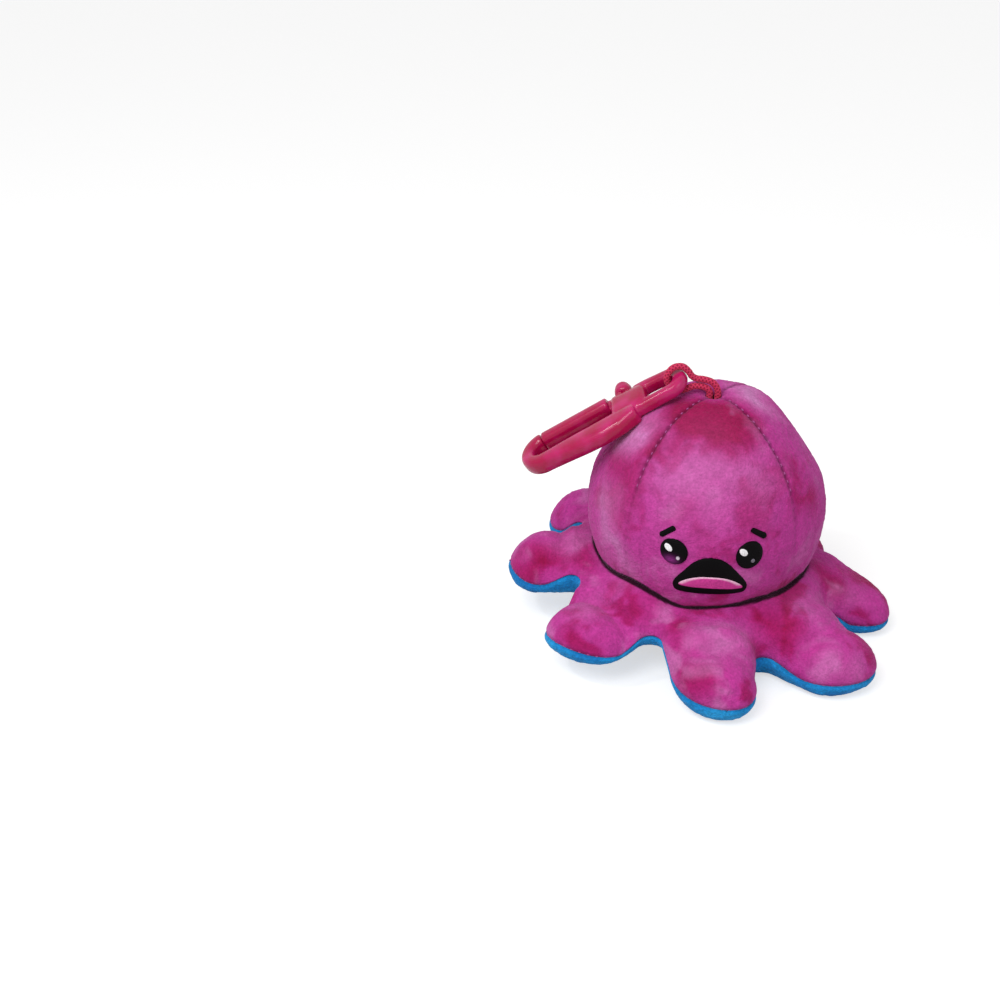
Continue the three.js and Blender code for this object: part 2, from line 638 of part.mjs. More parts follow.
function outerFace() {
  const eyes = onHead(EYE_ANGLE);
  const brows = onHead(BROW_ANGLE);
  const mouth = onHead(MOUTH_ANGLE);
  const pieces = [];
  for (const [side, name] of [[-1, "left"], [1, "right"]]) {
    const brow = [-0.5, 0, 0.5].map((t) => [
      side * BROW_SPREAD + t * BROW_LENGTH,
      -side * t * BROW_RISE + (BROW_RISE / 2) * (0.25 - t * t),
    ]);
    pieces.push(
      piece(`eyebrow_${name}`, ribbon(brows, brow, BROW_WIDTH, ...UNDER_THREAD), BLACK_THREAD, 0.5),
      piece(
        `eye_${name}`,
        patch(eyes, side * EYE_SPREAD, 0, ellipse(EYE_HALF_WIDTH, EYE_HALF_HEIGHT), ...UNDER_THREAD),
        BLACK_THREAD,
        0.5,
      ),
      piece(
        `eye_glint_${name}`,
        patch(
          eyes,
          side * EYE_SPREAD + GLINT_ACROSS,
          GLINT_UP,
          ellipse(GLINT_RADIUS, GLINT_RADIUS),
          ...OVER_THREAD,
          ARMS,
        ),
        0xf4f2f4,
        0.5,
      ),
    );
  }
  pieces.push(
    piece(
      "mouth",
      patch(mouth, 0, 0, dome(MOUTH_HALF_WIDTH, MOUTH_HEIGHT, MOUTH_SAG), ...UNDER_THREAD, 2 * PATCH_STEPS),
      BLACK_THREAD,
      0.5,
    ),
    piece(
      "tongue",
      patch(mouth, 0, TONGUE_RISE, dome(TONGUE_HALF_WIDTH, TONGUE_HEIGHT, TONGUE_SAG), ...OVER_THREAD),
      0xd8549c,
      0.5,
    ),
  );
  return pieces;
}

function innerFace() {
  const winks = inCavity(WINK_ANGLE);
  const smile = inCavity(SMILE_ANGLE);
  const cheeks = inCavity(CHEEK_ANGLE);
  const pieces = [];
  for (const [side, name] of [[-1, "left"], [1, "right"]]) {
    const tip = side * (WINK_SPREAD - WINK_LENGTH / 2);
    const end = side * (WINK_SPREAD + WINK_LENGTH / 2);
    const line = [[end, WINK_OPENING], [tip, 0], [end, -WINK_OPENING]];
    pieces.push(
      piece(`wink_${name}`, ribbon(winks, line, WINK_WIDTH, ...UNDER_THREAD), BLACK_THREAD, 0.5),
      piece(
        `cheek_${name}`,
        patch(cheeks, side * CHEEK_SPREAD, 0, ellipse(CHEEK_HALF_WIDTH, CHEEK_HALF_HEIGHT), ...UNDER_THREAD, ARMS),
        0xd8549c,
        0.5,
      ),
    );
  }
  const line = [-1, -0.5, 0, 0.5, 1].map((t) => [t * SMILE_HALF_WIDTH, SMILE_SAG * (t * t - 1)]);
  pieces.push(piece("smile", ribbon(smile, line, WINK_WIDTH, ...UNDER_THREAD), BLACK_THREAD, 0.5));
  return pieces;
}

// Headband round the cavity's dome, with the flower and its disc on the front of it.
function headband() {
  const half = BAND_WIDTH / 2 / CAVITY_RADIUS;
  const place = (u, v, inset) => {
    const down = BAND_ANGLE * DEG + v * half;
    const radius = CAVITY_RADIUS + inset;
    const around = FRONT + u * 2 * Math.PI;
    return new THREE.Vector3(
      radius * Math.sin(down) * Math.cos(around),
      radius * Math.sin(down) * Math.sin(around),
      HEAD_CENTRE_Z + radius * Math.cos(down),
    );
  };
  const rings = Array.from({ length: CAVITY_STEPS }, (_, i) => {
    const u = i / CAVITY_STEPS;
    return [
      place(u, -1, -GAP - FELT),
      place(u, 1, -GAP - FELT),
      place(u, 1, -GAP),
      place(u, -1, -GAP),
    ];
  });
  const n = 4;
  const points = rings.flat().map((p) => p.toArray());
  const faces = [];
  rings.forEach((_, i) => {
    const next = (i + 1) % rings.length;
    for (let j = 0; j < n; j++) {
      const k = (j + 1) % n;
      faces.push(i * n + j, i * n + k, next * n + k, i * n + j, next * n + k, next * n + j);
    }
  });
  return outward(points, faces);
}

function hairBand() {
  const flower = inCavity(BAND_ANGLE);
  const onBand = -3 * GAP - FELT;
  const onFlower = -4 * GAP - 2 * FELT;
  return [
    piece("headband", headband(), 0xc8206c),
    piece(
      "flower_patch",
      patch(
        flower,
        0,
        0,
        scalloped(FLOWER_HALF_WIDTH, FLOWER_HALF_HEIGHT),
        onBand - FELT,
        onBand,
        4 * FLOWER_PETALS,
      ),
      0xe8709a,
    ),
    piece(
      "flower_disc",
      patch(flower, 0, 0, ellipse(DISC_HALF_WIDTH, DISC_HALF_HEIGHT), onFlower - FELT, onFlower),
      0xf2d014,
    ),
  ];
}

// Snap clip: outlines in its own plane, X along the clip and Y across

const INNER_HALF_WIDTH = CLIP_HALF_WIDTH - CLIP_RAIL;
const CLAW_END_X = CLIP_END_S - CLIP_HALF_WIDTH;
const EYE_OUT_X = CLIP_EYE_S - CLIP_BAR / 2;
const EYE_IN_X = EYE_OUT_X + CLIP_EYE_LENGTH;
const NOSE_RADIUS = CLIP_RAIL / 2;
const NOSE_X = CLAW_END_X + (INNER_HALF_WIDTH + NOSE_RADIUS) * Math.cos(CLAW_NOSE_ANGLE * DEG);
const NOSE_Y = (INNER_HALF_WIDTH + NOSE_RADIUS) * Math.sin(CLAW_NOSE_ANGLE * DEG);

function plate(outline, thickness, bevel) {
  return new THREE.ExtrudeGeometry(outline, {
    depth: thickness - 2 * bevel,
    bevelEnabled: bevel > 0,
    bevelThickness: bevel,
    bevelSize: bevel,
    bevelOffset: -bevel,
    bevelSegments: 2,
    curveSegments: CLIP_CURVE_STEPS,
  }).translate(0, 0, bevel - thickness / 2);
}

// A disc in the clip's plane, centred through its thickness.
function puck(radius, thickness, x, y) {
  return new THREE.CylinderGeometry(radius, radius, thickness, PATCH_STEPS).rotateX(Math.PI / 2).translate(x, y, 0);
}

// The claw: up the near rail, round the far end and back to its nose, with the eye behind the collar.
function clipOutline() {
  const nose = CLAW_NOSE_ANGLE * DEG;
  const outline = new THREE.Shape();
  outline.moveTo(EYE_IN_X - CLIP_BAR, -CLIP_EYE_HALF_WIDTH);
  outline.quadraticCurveTo(EYE_IN_X, -CLIP_EYE_HALF_WIDTH, EYE_IN_X + CLIP_BAR, -CLIP_HALF_WIDTH);
  outline.lineTo(CLAW_END_X, -CLIP_HALF_WIDTH);
  outline.absarc(CLAW_END_X, 0, CLIP_HALF_WIDTH, -Math.PI / 2, nose, false);
  outline.absarc(NOSE_X, NOSE_Y, NOSE_RADIUS, nose, nose + Math.PI, false);
  outline.absarc(CLAW_END_X, 0, INNER_HALF_WIDTH, nose, -Math.PI / 2, true);
  outline.lineTo(PIVOT_S + GATE_HUB_RADIUS, -INNER_HALF_WIDTH);
  outline.quadraticCurveTo(PIVOT_S + CLIP_RAIL, 0, PIVOT_S + GATE_HUB_RADIUS, INNER_HALF_WIDTH / 2);
  outline.absarc(PIVOT_S, PIVOT_Y, GATE_HUB_RADIUS + GAP, -Math.PI / 6, Math.PI / 2, false);
  outline.quadraticCurveTo(EYE_IN_X, CLIP_EYE_HALF_WIDTH + CLIP_BAR / 2, EYE_IN_X - CLIP_BAR, CLIP_EYE_HALF_WIDTH);
  outline.lineTo(EYE_OUT_X + CLIP_EYE_HALF_WIDTH, CLIP_EYE_HALF_WIDTH);
  outline.absarc(EYE_OUT_X + CLIP_EYE_HALF_WIDTH, 0, CLIP_EYE_HALF_WIDTH, Math.PI / 2, (3 * Math.PI) / 2, false);
  return outline;
}

function eyeHole() {
  const half = CLIP_EYE_HALF_WIDTH - CLIP_BAR;
  const hole = new THREE.Path();
  const near = EYE_OUT_X + CLIP_BAR + half;
  const far = EYE_IN_X - CLIP_BAR - half;
  hole.moveTo(near, half);
  hole.absarc(near, 0, half, Math.PI / 2, (3 * Math.PI) / 2, false);
  hole.lineTo(far, -half);
  hole.absarc(far, 0, half, -Math.PI / 2, Math.PI / 2, false);
  return hole;
}

function clipBody() {
  const outline = clipOutline();
  outline.holes.push(eyeHole());
  const slotThickness = GATE_HUB_THICKNESS + 2 * GATE_SLOT_CLEARANCE;
  const slot = new THREE.BoxGeometry(GATE_SLOT_LENGTH, 2 * CLIP_HALF_WIDTH, slotThickness).translate(
    PIVOT_S - GATE_HUB_RADIUS + GATE_SLOT_LENGTH / 2,
    PIVOT_Y - GATE_HUB_RADIUS - GATE_SLOT_CLEARANCE + CLIP_HALF_WIDTH,
    0,
  );
  const hole = puck(PIN_RADIUS + PIN_CLEARANCE, CLIP_THICKNESS + OVERRUN, PIVOT_S, PIVOT_Y);
  return cut(plate(outline, CLIP_THICKNESS, CLIP_BEVEL), slot, hole);
}

// The gate: a thin hub between the collar's cheeks, a full arm along the claw, and a thumb tab on its outside.
function clipGate() {
  const armY = CLIP_HALF_WIDTH - GATE_ARM_WIDTH / 2 - GAP;
  const armStart = PIVOT_S + GATE_HUB_RADIUS + GAP + CLIP_RAIL / 2;
  const clear = NOSE_RADIUS + GATE_ARM_WIDTH / 2 + GAP;
  const armEnd = NOSE_X - Math.sqrt(clear ** 2 - (armY - NOSE_Y) ** 2);
  const arm = new THREE.Shape();
  arm.moveTo(armStart, armY - GATE_ARM_WIDTH / 2);
  arm.lineTo(armEnd, armY - GATE_ARM_WIDTH / 2);
  arm.absarc(armEnd, armY, GATE_ARM_WIDTH / 2, -Math.PI / 2, Math.PI / 2, false);
  arm.lineTo(armStart, armY + GATE_ARM_WIDTH / 2);
  arm.lineTo(armStart, armY - GATE_ARM_WIDTH / 2);
  const neckLength = armStart - PIVOT_S + GAP + CLIP_BEVEL;
  const neck = new THREE.BoxGeometry(neckLength, GATE_ARM_WIDTH, GATE_HUB_THICKNESS).translate(
    PIVOT_S + neckLength / 2,
    PIVOT_Y + GAP,
    0,
  );
  const whole = join(
    plate(arm, CLIP_THICKNESS, CLIP_BEVEL),
    neck,
    puck(GATE_HUB_RADIUS, GATE_HUB_THICKNESS, PIVOT_S, PIVOT_Y),
    puck(GATE_HUB_RADIUS, GATE_HUB_THICKNESS, GATE_TAB_S, (PIVOT_Y + GATE_TAB_Y) / 2),
    puck(GATE_TAB_RADIUS, GATE_TAB_THICKNESS, GATE_TAB_S, GATE_TAB_Y),
  );
  return cut(whole, puck(PIN_RADIUS + PIN_CLEARANCE, CLIP_THICKNESS + OVERRUN, PIVOT_S, PIVOT_Y));
}

function clipPin() {
  return puck(PIN_RADIUS, CLIP_THICKNESS, PIVOT_S, PIVOT_Y);
}

// The clip lies on the head's side, sloping down towards -X.
function clipGroup() {
  const slope = CLIP_SLOPE * DEG;
  const along = new THREE.Vector3(-Math.cos(slope), 0, -Math.sin(slope));
  const across = new THREE.Vector3(0, 1, 0);
  const inwards = new THREE.Vector3().crossVectors(along, across);
  const support = Math.hypot(HEAD_RADIUS * Math.sin(slope), HEAD_HALF_HEIGHT * Math.cos(slope));
  const group = new THREE.Group();
  group.setRotationFromMatrix(new THREE.Matrix4().makeBasis(along, across, inwards));
  group.rotateX(-CLIP_ROLL * DEG);
  group.position
    .set(0, 0, HEAD_CENTRE_Z)
    .addScaledVector(inwards, -(support + CLIP_REST_GAP + CLIP_THICKNESS / 2));
  return group;
}

function cordLoop() {
  const route = new THREE.CatmullRomCurve3(CORD_ROUTE.map(([x, z]) => new THREE.Vector3(x, 0, z)));
  const section = new THREE.Shape();
  section.absarc(0, 0, CORD_DIAMETER / 2, 0, 2 * Math.PI, false);
  return new THREE.ExtrudeGeometry(section, {
    steps: CORD_STEPS,
    curveSegments: CORD_HALF_SIDES,
    extrudePath: route,
    bevelEnabled: false,
  });
}

// Assembly

const octopus = new THREE.Group();

["front", "right", "back", "left"].forEach((side, index) => {
  octopus.add(piece(`head_panel_${side}`, headPanel(index), MAGENTA));
  octopus.add(piece(`lining_panel_${side}`, liningPanel(index), BLUE));
});
octopus.add(...outerFace(), ...innerFace(), ...hairBand());
octopus.add(piece("head_filling", headFilling(), 0xf2f0ea));
octopus.add(piece("skirt_top", skirtTop(), MAGENTA));
octopus.add(piece("skirt_bottom", skirtBottom(), BLUE));
octopus.add(piece("skirt_filling", skirtFilling(), 0xf2f0ea));

for (let index = 0; index < ARMS; index++) {
  const spoke = new THREE.Group();
  spoke.rotation.z = armAngle(index);
  const arm = new THREE.Group();
  arm.position.set(ARM_HINGE_RADIUS, 0, ARM_HINGE_Z);
  arm.rotation.y = -ARM_LIFTS[index] * DEG;
  arm.add(piece(`arm_${index + 1}_top`, armTop(index), MAGENTA));
  arm.add(piece(`arm_${index + 1}_bottom`, armBottom(index), BLUE));
  arm.add(piece(`arm_${index + 1}_filling`, armFilling(index), 0xf2f0ea));
  spoke.add(arm);
  octopus.add(spoke);
}

const clip = clipGroup();
clip.add(piece("clip_body", clipBody(), CLIP_PINK, 0.2));
clip.add(piece("clip_gate", clipGate(), CLIP_PINK, 0.2));
clip.add(piece("clip_pin", clipPin(), CLIP_PINK, 0.2));
octopus.add(clip, piece("cord_loop", cordLoop(), 0xb82a55, 0.8));

export default octopus;
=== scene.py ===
# %% [markdown]
# # A small reversible plush octopus, dressed in cloth, thread and plastic
#
# The imported part gives the frame: where every piece is and how it moves. This notebook adds what the eye
# sees: short-pile velour with its mottled tone and some painted shade and painted highlight, plush under the arms,
# satin stitches, felt, a braided cord and a moulded clip. Lengths are written in millimetres and become metres
# when a mesh is made.

# %% Load the imported part as the fixed frame
import math

import bmesh
import bpy
import numpy as np
from mathutils import Matrix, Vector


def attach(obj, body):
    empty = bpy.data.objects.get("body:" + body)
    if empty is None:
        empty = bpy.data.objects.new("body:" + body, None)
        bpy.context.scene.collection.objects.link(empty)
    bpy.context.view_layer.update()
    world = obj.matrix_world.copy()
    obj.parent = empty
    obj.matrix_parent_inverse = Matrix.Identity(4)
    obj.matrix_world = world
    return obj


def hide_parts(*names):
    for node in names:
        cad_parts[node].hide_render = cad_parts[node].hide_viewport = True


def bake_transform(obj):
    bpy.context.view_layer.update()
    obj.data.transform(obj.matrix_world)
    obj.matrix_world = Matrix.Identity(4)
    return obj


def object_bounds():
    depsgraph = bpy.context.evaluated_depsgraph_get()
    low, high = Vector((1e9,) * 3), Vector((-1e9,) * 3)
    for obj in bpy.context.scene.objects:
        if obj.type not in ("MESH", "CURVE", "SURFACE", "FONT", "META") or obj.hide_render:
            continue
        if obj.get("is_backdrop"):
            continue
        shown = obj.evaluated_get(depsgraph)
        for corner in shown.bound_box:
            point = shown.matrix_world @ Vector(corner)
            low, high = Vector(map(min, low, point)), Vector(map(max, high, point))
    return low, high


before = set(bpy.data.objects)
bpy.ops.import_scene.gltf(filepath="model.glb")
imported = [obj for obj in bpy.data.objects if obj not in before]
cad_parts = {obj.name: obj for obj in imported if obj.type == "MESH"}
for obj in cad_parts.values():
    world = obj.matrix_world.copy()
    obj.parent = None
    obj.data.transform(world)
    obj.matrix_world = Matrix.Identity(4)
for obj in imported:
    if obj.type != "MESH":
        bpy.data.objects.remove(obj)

MM = 0.001


def placed(name, data):
    """A new object with that data, linked into the scene."""
    made = bpy.data.objects.new(name, data)
    bpy.context.scene.collection.objects.link(made)
    return made


cad_box = [[float(x) for x in corner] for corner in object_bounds()]

# %% [markdown]
# ## Camera
#
# A camera can be placed by eye or worked out. This one was worked out: the toy stands on the floor, the
# photograph shows its crown a little from above, and a fit of the head's outline gave the angles. The camera
# looks past the toy, so that it stands in the same corner of the frame without any shift of the lens.

# %% Put the camera where the photograph was taken from
VIEW_AZIMUTH = math.radians(-3.62)
VIEW_ELEVATION = math.radians(28.5)
VIEW_DISTANCE = 500.0
FOCAL_PIXELS = 1520.0
FRAME_PIXELS = 1000.0
FLOOR_PIXEL = (697.6, 611.4)  # where the middle of the toy meets the floor in the picture
SENSOR_WIDTH = 36.0
NEAREST_SEEN = 0.01

forward = np.array([
    math.sin(VIEW_AZIMUTH) * math.cos(VIEW_ELEVATION),
    math.cos(VIEW_AZIMUTH) * math.cos(VIEW_ELEVATION),
    -math.sin(VIEW_ELEVATION),
])
rightward = np.array([math.cos(VIEW_AZIMUTH), -math.sin(VIEW_AZIMUTH), 0.0])
upward = np.cross(rightward, forward)
across_share = (FLOOR_PIXEL[0] - FRAME_PIXELS / 2) / FOCAL_PIXELS
down_share = (FLOOR_PIXEL[1] - FRAME_PIXELS / 2) / FOCAL_PIXELS
eye_point = VIEW_DISTANCE * (down_share * upward - across_share * rightward - forward)

camera = placed("camera", bpy.data.cameras.new("camera"))
camera.data.sensor_width = SENSOR_WIDTH
camera.data.lens = FOCAL_PIXELS / FRAME_PIXELS * SENSOR_WIDTH
camera.data.clip_start = NEAREST_SEEN
matrix = np.eye(4)
matrix[:3, :3] = np.stack([rightward, upward, -forward], 1)
matrix[:3, 3] = eye_point * MM
camera.matrix_world = Matrix(matrix.tolist())
bpy.context.scene.camera = camera
print("camera at", np.round(eye_point).tolist(), "mm, lens", round(camera.data.lens, 2))

# %% [markdown]
# ## Grids that become meshes
#
# Every new piece is a surface worked out on a grid of two parameters. A cloth needs two sides, so one grid
# gives its outside, another its inside, and strips along the edges close the shell. Welding the corners
# that coincide closes the poles, where a whole row of the grid shrinks to one point.

# %% Faces of grids and of closed shells
def grid_faces(rows, cols, wrap=False):
    """Corner numbers of a grid's four-sided faces; wrap joins the last column to the first."""
    row = np.arange(rows - 1)[:, None] * cols
    col = np.arange(cols if wrap else cols - 1)[None, :]
    a, b = row + col, row + (col + 1) % cols
    return np.stack([a, b, b + cols, a + cols], -1).reshape(-1, 4)


def shell_faces(rows, cols, wrap=False):
    """Faces of an outside and an inside grid joined along their edges into one closed shell."""
    layer = rows * cols
    outer = grid_faces(rows, cols, wrap)
    parts = [outer, outer[:, ::-1] + layer]
    here = np.arange(cols if wrap else cols - 1)
    beside = (here + 1) % cols
    for row, turned in ((0, False), (rows - 1, True)):
        a, b = row * cols + here, row * cols + beside
        strip = np.stack([b, a, a + layer, b + layer], -1)
        parts.append(strip[:, ::-1] if turned else strip)
    if not wrap:
        side = np.arange(rows - 1) * cols
        for col, turned in ((0, True), (cols - 1, False)):
            a, b = side + col, side + col + cols
            strip = np.stack([b, a, a + layer, b + layer], -1)
            parts.append(strip[:, ::-1] if turned else strip)
    return np.concatenate(parts)


# %% Make a mesh object from points in millimetres
WELD = 1e-7  # metres


def faced_out(points, faces):
    """Four-sided faces of a closed surface, turned so that its signed volume is positive: the sum of each
    face's first corner times the cross products of its second and third, and of its third and fourth."""
    a, b, c, d = (points[faces[:, k]] for k in range(4))
    volume = (a * (np.cross(b, c) + np.cross(c, d))).sum()
    return faces if volume > 0 else faces[:, ::-1]


def make_piece(name, points, faces, material, marks=None, weld=False):
    """A smooth mesh from points in mm and four-sided faces. marks are named numbers for each point."""
    points = points.reshape(-1, 3)
    faces = faced_out(points, faces)
    mesh = bpy.data.meshes.new(name)
    mesh.vertices.add(len(points))
    mesh.vertices.foreach_set("co", (points * MM).astype(np.float32).ravel())
    mesh.loops.add(faces.size)
    mesh.loops.foreach_set("vertex_index", faces.astype(np.int32).ravel())
    mesh.polygons.add(len(faces))
    mesh.polygons.foreach_set("loop_start", np.arange(0, faces.size, 4, dtype=np.int32))
    mesh.polygons.foreach_set("use_smooth", np.ones(len(faces), bool))
    mesh.update(calc_edges=True)
    for mark, values in (marks or {}).items():
        layer = mesh.attributes.new(mark, "FLOAT", "POINT")
        layer.data.foreach_set("value", values.astype(np.float32).ravel())
    if weld:
        work = bmesh.new()
        work.from_mesh(mesh)
        bmesh.ops.remove_doubles(work, verts=work.verts, dist=WELD)
        bmesh.ops.dissolve_degenerate(work, edges=work.edges, dist=WELD)
        work.to_mesh(mesh)
        work.free()
    mesh.validate()
    mesh.materials.append(material)
    return placed(name, mesh)


def smooth(x, start, end):
    """Eases from 0 at start to 1 at end: 3t squared less 2t cubed."""
    t = np.clip((x - start) / (end - start), 0, 1)
    return t * t * (3 - 2 * t)


def mix(a, b, share):
    """From a at share 0 to b at share 1."""
    return a + (b - a) * share


def full_turn(count):
    """Angles round a full turn, along the second axis of a grid."""
    return np.linspace(0, 2 * np.pi, count, endpoint=False)[None, :]


def bell(off, width):
    """1 at off 0, and e to the minus 1 a width away."""
    return np.exp(-((off / width) ** 2))


def powered(wave, power):
    """A wave whose size is raised to a power and whose sign stays."""
    return np.sign(wave) * np.abs(wave) ** power


def unit(vectors, least=1e-9):
    """Vectors over their length, or over least where they are shorter than that."""
    return vectors / np.maximum(np.linalg.norm(vectors, axis=-1, keepdims=True), least)


# %% [markdown]
# ## Noise for cloth
#
# Cloth is never even: the pile clumps, the stuffing lumps and the dye takes in blotches. One function serves
# all three. It gives a random value at each corner of a lattice of cubes and eases between them, so the
# result is the same each time, and its cube size is a real size in millimetres.

# %% Value noise on a lattice
HASH_AXES, HASH_SEED = np.array([73856093, 19349663, 83492791]), 2654435761
HASH_TURNS = ((13, 1274126177), (16, 668265263))  # shifts and factors that scramble the bits
LOW_BITS, LEVELS = 0x7FFFFFFF, 4096


def noise(points, size, seed):
    """Random values from -1 to 1 at the corners of cubes of that size, eased between the corners."""
    place = points / size
    cell = np.floor(place).astype(np.int64)
    part = place - cell
    part = part * part * (3 - 2 * part)
    total = np.zeros(points.shape[:-1])
    for corner in np.ndindex(2, 2, 2):
        key = (cell + corner) * HASH_AXES
        mixed = key[..., 0] ^ key[..., 1] ^ key[..., 2] ^ (seed * HASH_SEED)
        for shift, factor in HASH_TURNS:
            mixed = ((mixed ^ (mixed >> shift)) * factor) & LOW_BITS
        share = np.prod(np.where(corner, part, 1 - part), -1)
        total += share * ((mixed >> 8) % LEVELS / ((LEVELS - 1) / 2) - 1)
    return total


def layered(points, layers):
    """Noise at several sizes added: each layer has a weight, a size in mm and a seed."""
    return sum(weight * noise(points, size, seed) for weight, size, seed in layers)


def normals_of(grid, wrap=False):
    """Unit normals of a grid of points: the cross product of its steps along rows and along columns."""
    down = np.gradient(grid, axis=0)
    if wrap:
        over = (np.roll(grid, -1, 1) - np.roll(grid, 1, 1)) / 2
    else:
        over = np.gradient(grid, axis=1)
    return unit(np.cross(down, over))


PILE_CLUMP, PILE_TUFT, PILE_DEPTH = 1.15, 0.62, 0.13  # mm across a clump and a tuft, and how far they stand out
TUFT_SHARE = 0.7


def pile(points, seed):
    """How far the pile stands out: two sizes of clumps added."""
    return PILE_DEPTH * (noise(points, PILE_CLUMP, seed) + TUFT_SHARE * noise(points, PILE_TUFT, seed + 1))


print("noise sample", np.round(noise(np.array([[1.0, 2.0, 3.0], [4.0, 5.0, 6.0]]), PILE_CLUMP, 1), 3))

# %% [markdown]
# ## Materials
#
# Each material starts from what the real one is. Velour and plush are piles of thin fibres: rough, with a
# soft sheen where the fibres are seen from the side. Satin stitch is a row of parallel threads with a little
# gloss. The clip is injection-moulded plastic, smooth and slightly translucent.

# %% Colours and nodes
def linear(text):
    """sRGB hex to linear: each channel over 12.92 below 0.04045, else ((c + 0.055) / 1.055) to the 2.4."""
    channels = [int(text[k:k + 2], 16) / 255 for k in (1, 3, 5)]
    return tuple(c / 12.92 if c <= 0.04045 else ((c + 0.055) / 1.055) ** 2.4 for c in channels) + (1.0,)


def add(tree, kind, inputs=None, **settings):
    """Adds a node, sets its properties, and sets or links each named or numbered input."""
    node = tree.nodes.new(kind)
    for key, value in settings.items():
        setattr(node, key, value)
    for key, value in (inputs or {}).items():
        if isinstance(value, bpy.types.NodeSocket):
            tree.links.new(value, node.inputs[key])
        else:
            node.inputs[key].default_value = value
    return node


def blank(name, **values):
    """A material with a Principled shader, and that shader's sockets set by name."""
    material = bpy.data.materials.new(name)
    material.use_nodes = True
    tree = material.node_tree
    shader = tree.nodes["Principled BSDF"]
    for key, value in values.items():
        shader.inputs[key.replace("_", " ")].default_value = value
    return material, tree, shader


def per_size(size):
    """Scale of a noise texture, on coordinates in metres, whose grain is that many millimetres."""
    return 1 / (size * MM)


def tint(tree, under, over, share):
    """Mixes two colours by a share."""
    return add(tree, "ShaderNodeMix", {0: share, 6: under, 7: over}, data_type="RGBA").outputs[2]


def marked(tree, name):
    """The number that each point of the mesh stores under a name."""
    return add(tree, "ShaderNodeAttribute", attribute_name=name).outputs["Fac"]


def grain_of(tree, size, detail=2.0):
    """Noise whose grain is so many millimetres, in the frame of the object."""
    place = add(tree, "ShaderNodeTexCoord").outputs["Object"]
    inputs = {"Vector": place, "Scale": per_size(size), "Detail": detail}
    return add(tree, "ShaderNodeTexNoise", inputs).outputs["Fac"]


def ranged(tree, value, source, target):
    """Moves a value from one range to another and holds it at the ends."""
    ends = {0: value, 1: source[0], 2: source[1], 3: target[0], 4: target[1]}
    return add(tree, "ShaderNodeMapRange", ends).outputs[0]


NOISE_RANGE = (0.3, 0.7)  # where most of a noise texture's values are


def grained(tree, colour, size, detail, contrast):
    """Makes a colour lighter and darker by a contrast, grain by grain."""
    level = ranged(tree, grain_of(tree, size, detail), NOISE_RANGE, (1 - contrast, 1 + contrast))
    return add(tree, "ShaderNodeVectorMath", {0: colour, "Scale": level}, operation="SCALE").outputs[0]


FINER_SHARE = 0.7  # weight of each finer grain in the bump, of the one before


def bumped(tree, shader, sizes, depth, strength=1.0):
    """Bump from noise of the given grain sizes in mm, added with falling weight, depth in mm."""
    total = None
    for k, size in enumerate(sizes):
        weighted = {0: grain_of(tree, size), 1: FINER_SHARE**k}
        part = add(tree, "ShaderNodeMath", weighted, operation="MULTIPLY").outputs[0]
        total = part if total is None else add(tree, "ShaderNodeMath", {0: total, 1: part}).outputs[0]
    bump = add(tree, "ShaderNodeBump", {"Height": total, "Distance": depth * MM, "Strength": strength})
    tree.links.new(bump.outputs["Normal"], shader.inputs["Normal"])


# %% [markdown]
# Velour is polyester pile, about a millimetre long, blotchy here: wine-dark blotches and pale lilac ones, in
# places painted shade and painted highlight. The blotches follow the cloth, so they are numbers stored on each
# mesh, while the fine mottling of the fibres comes from noise in the material. Sheen gives the pale rim that pile
# has at a grazing angle.

# %% Velour and plush
# WINE and LILAC, like BLUE_DARK and BLUE_LIGHT, are in places painted shade and painted highlight, where the
# listed patches put them
MAGENTA, DEEP, WINE, LILAC = (linear(c) for c in ("#ba3a92", "#a6206c", "#960f4a", "#c77ab4"))
BLUE, BLUE_DEEP, BLUE_DARK, BLUE_LIGHT = (linear(c) for c in ("#1f8fd4", "#1a78c0", "#1760ae", "#35a8e4"))


def pile_cloth(name, ground, deep, dark, pale, seam, sheen, mottle):
    """Pile cloth: ground colour, deep where the mark dark reaches a half and dark where it reaches 1, then
    the mark pale, then clumps and fibres, then painted shade in the colour seam where the mark seam is. mottle
    pairs a grain in mm with its contrast."""
    material, tree, shader = blank(
        name, Roughness=0.92, Sheen_Weight=0.22, Sheen_Roughness=0.4, Specular_IOR_Level=0.12, Sheen_Tint=sheen)
    for over, start in ((deep, 0.0), (dark, 0.5)):
        ground = tint(tree, ground, over, ranged(tree, marked(tree, "dark"), (start, start + 0.5), (0.0, 1.0)))
    colour = tint(tree, ground, pale, marked(tree, "pale"))
    for size, contrast in mottle:
        colour = grained(tree, colour, size, 3.0, contrast)
    # painted shade: the colour seam, laid where the mark seam is
    tree.links.new(tint(tree, colour, seam, marked(tree, "seam")), shader.inputs["Base Color"])
    bumped(tree, shader, (0.9, 0.45), 0.25)
    return material


# each cloth's colour seam, #260418 for velour and #12447e for plush, is painted shade
velour = pile_cloth("polyester velour, dyed magenta", MAGENTA, DEEP, WINE, LILAC, linear("#260418"),
                    linear("#e8b0dc"), ((3.2, 0.1), (0.8, 0.12)))
plush = pile_cloth("polyester plush, dyed blue", BLUE, BLUE_DEEP, BLUE_DARK, BLUE_LIGHT, linear("#12447e"),
                   linear("#b8dcf4"), ((2.4, 0.16), (0.8, 0.2)))
print("made", velour.name, "and", plush.name)

# %% [markdown]
# Rayon thread is smooth and shines a little along its length. The stitches are modelled, so the material
# only needs the gloss and a slight change from thread to thread. Felt is pressed wool or polyester: matt,
# with short loose fibres.

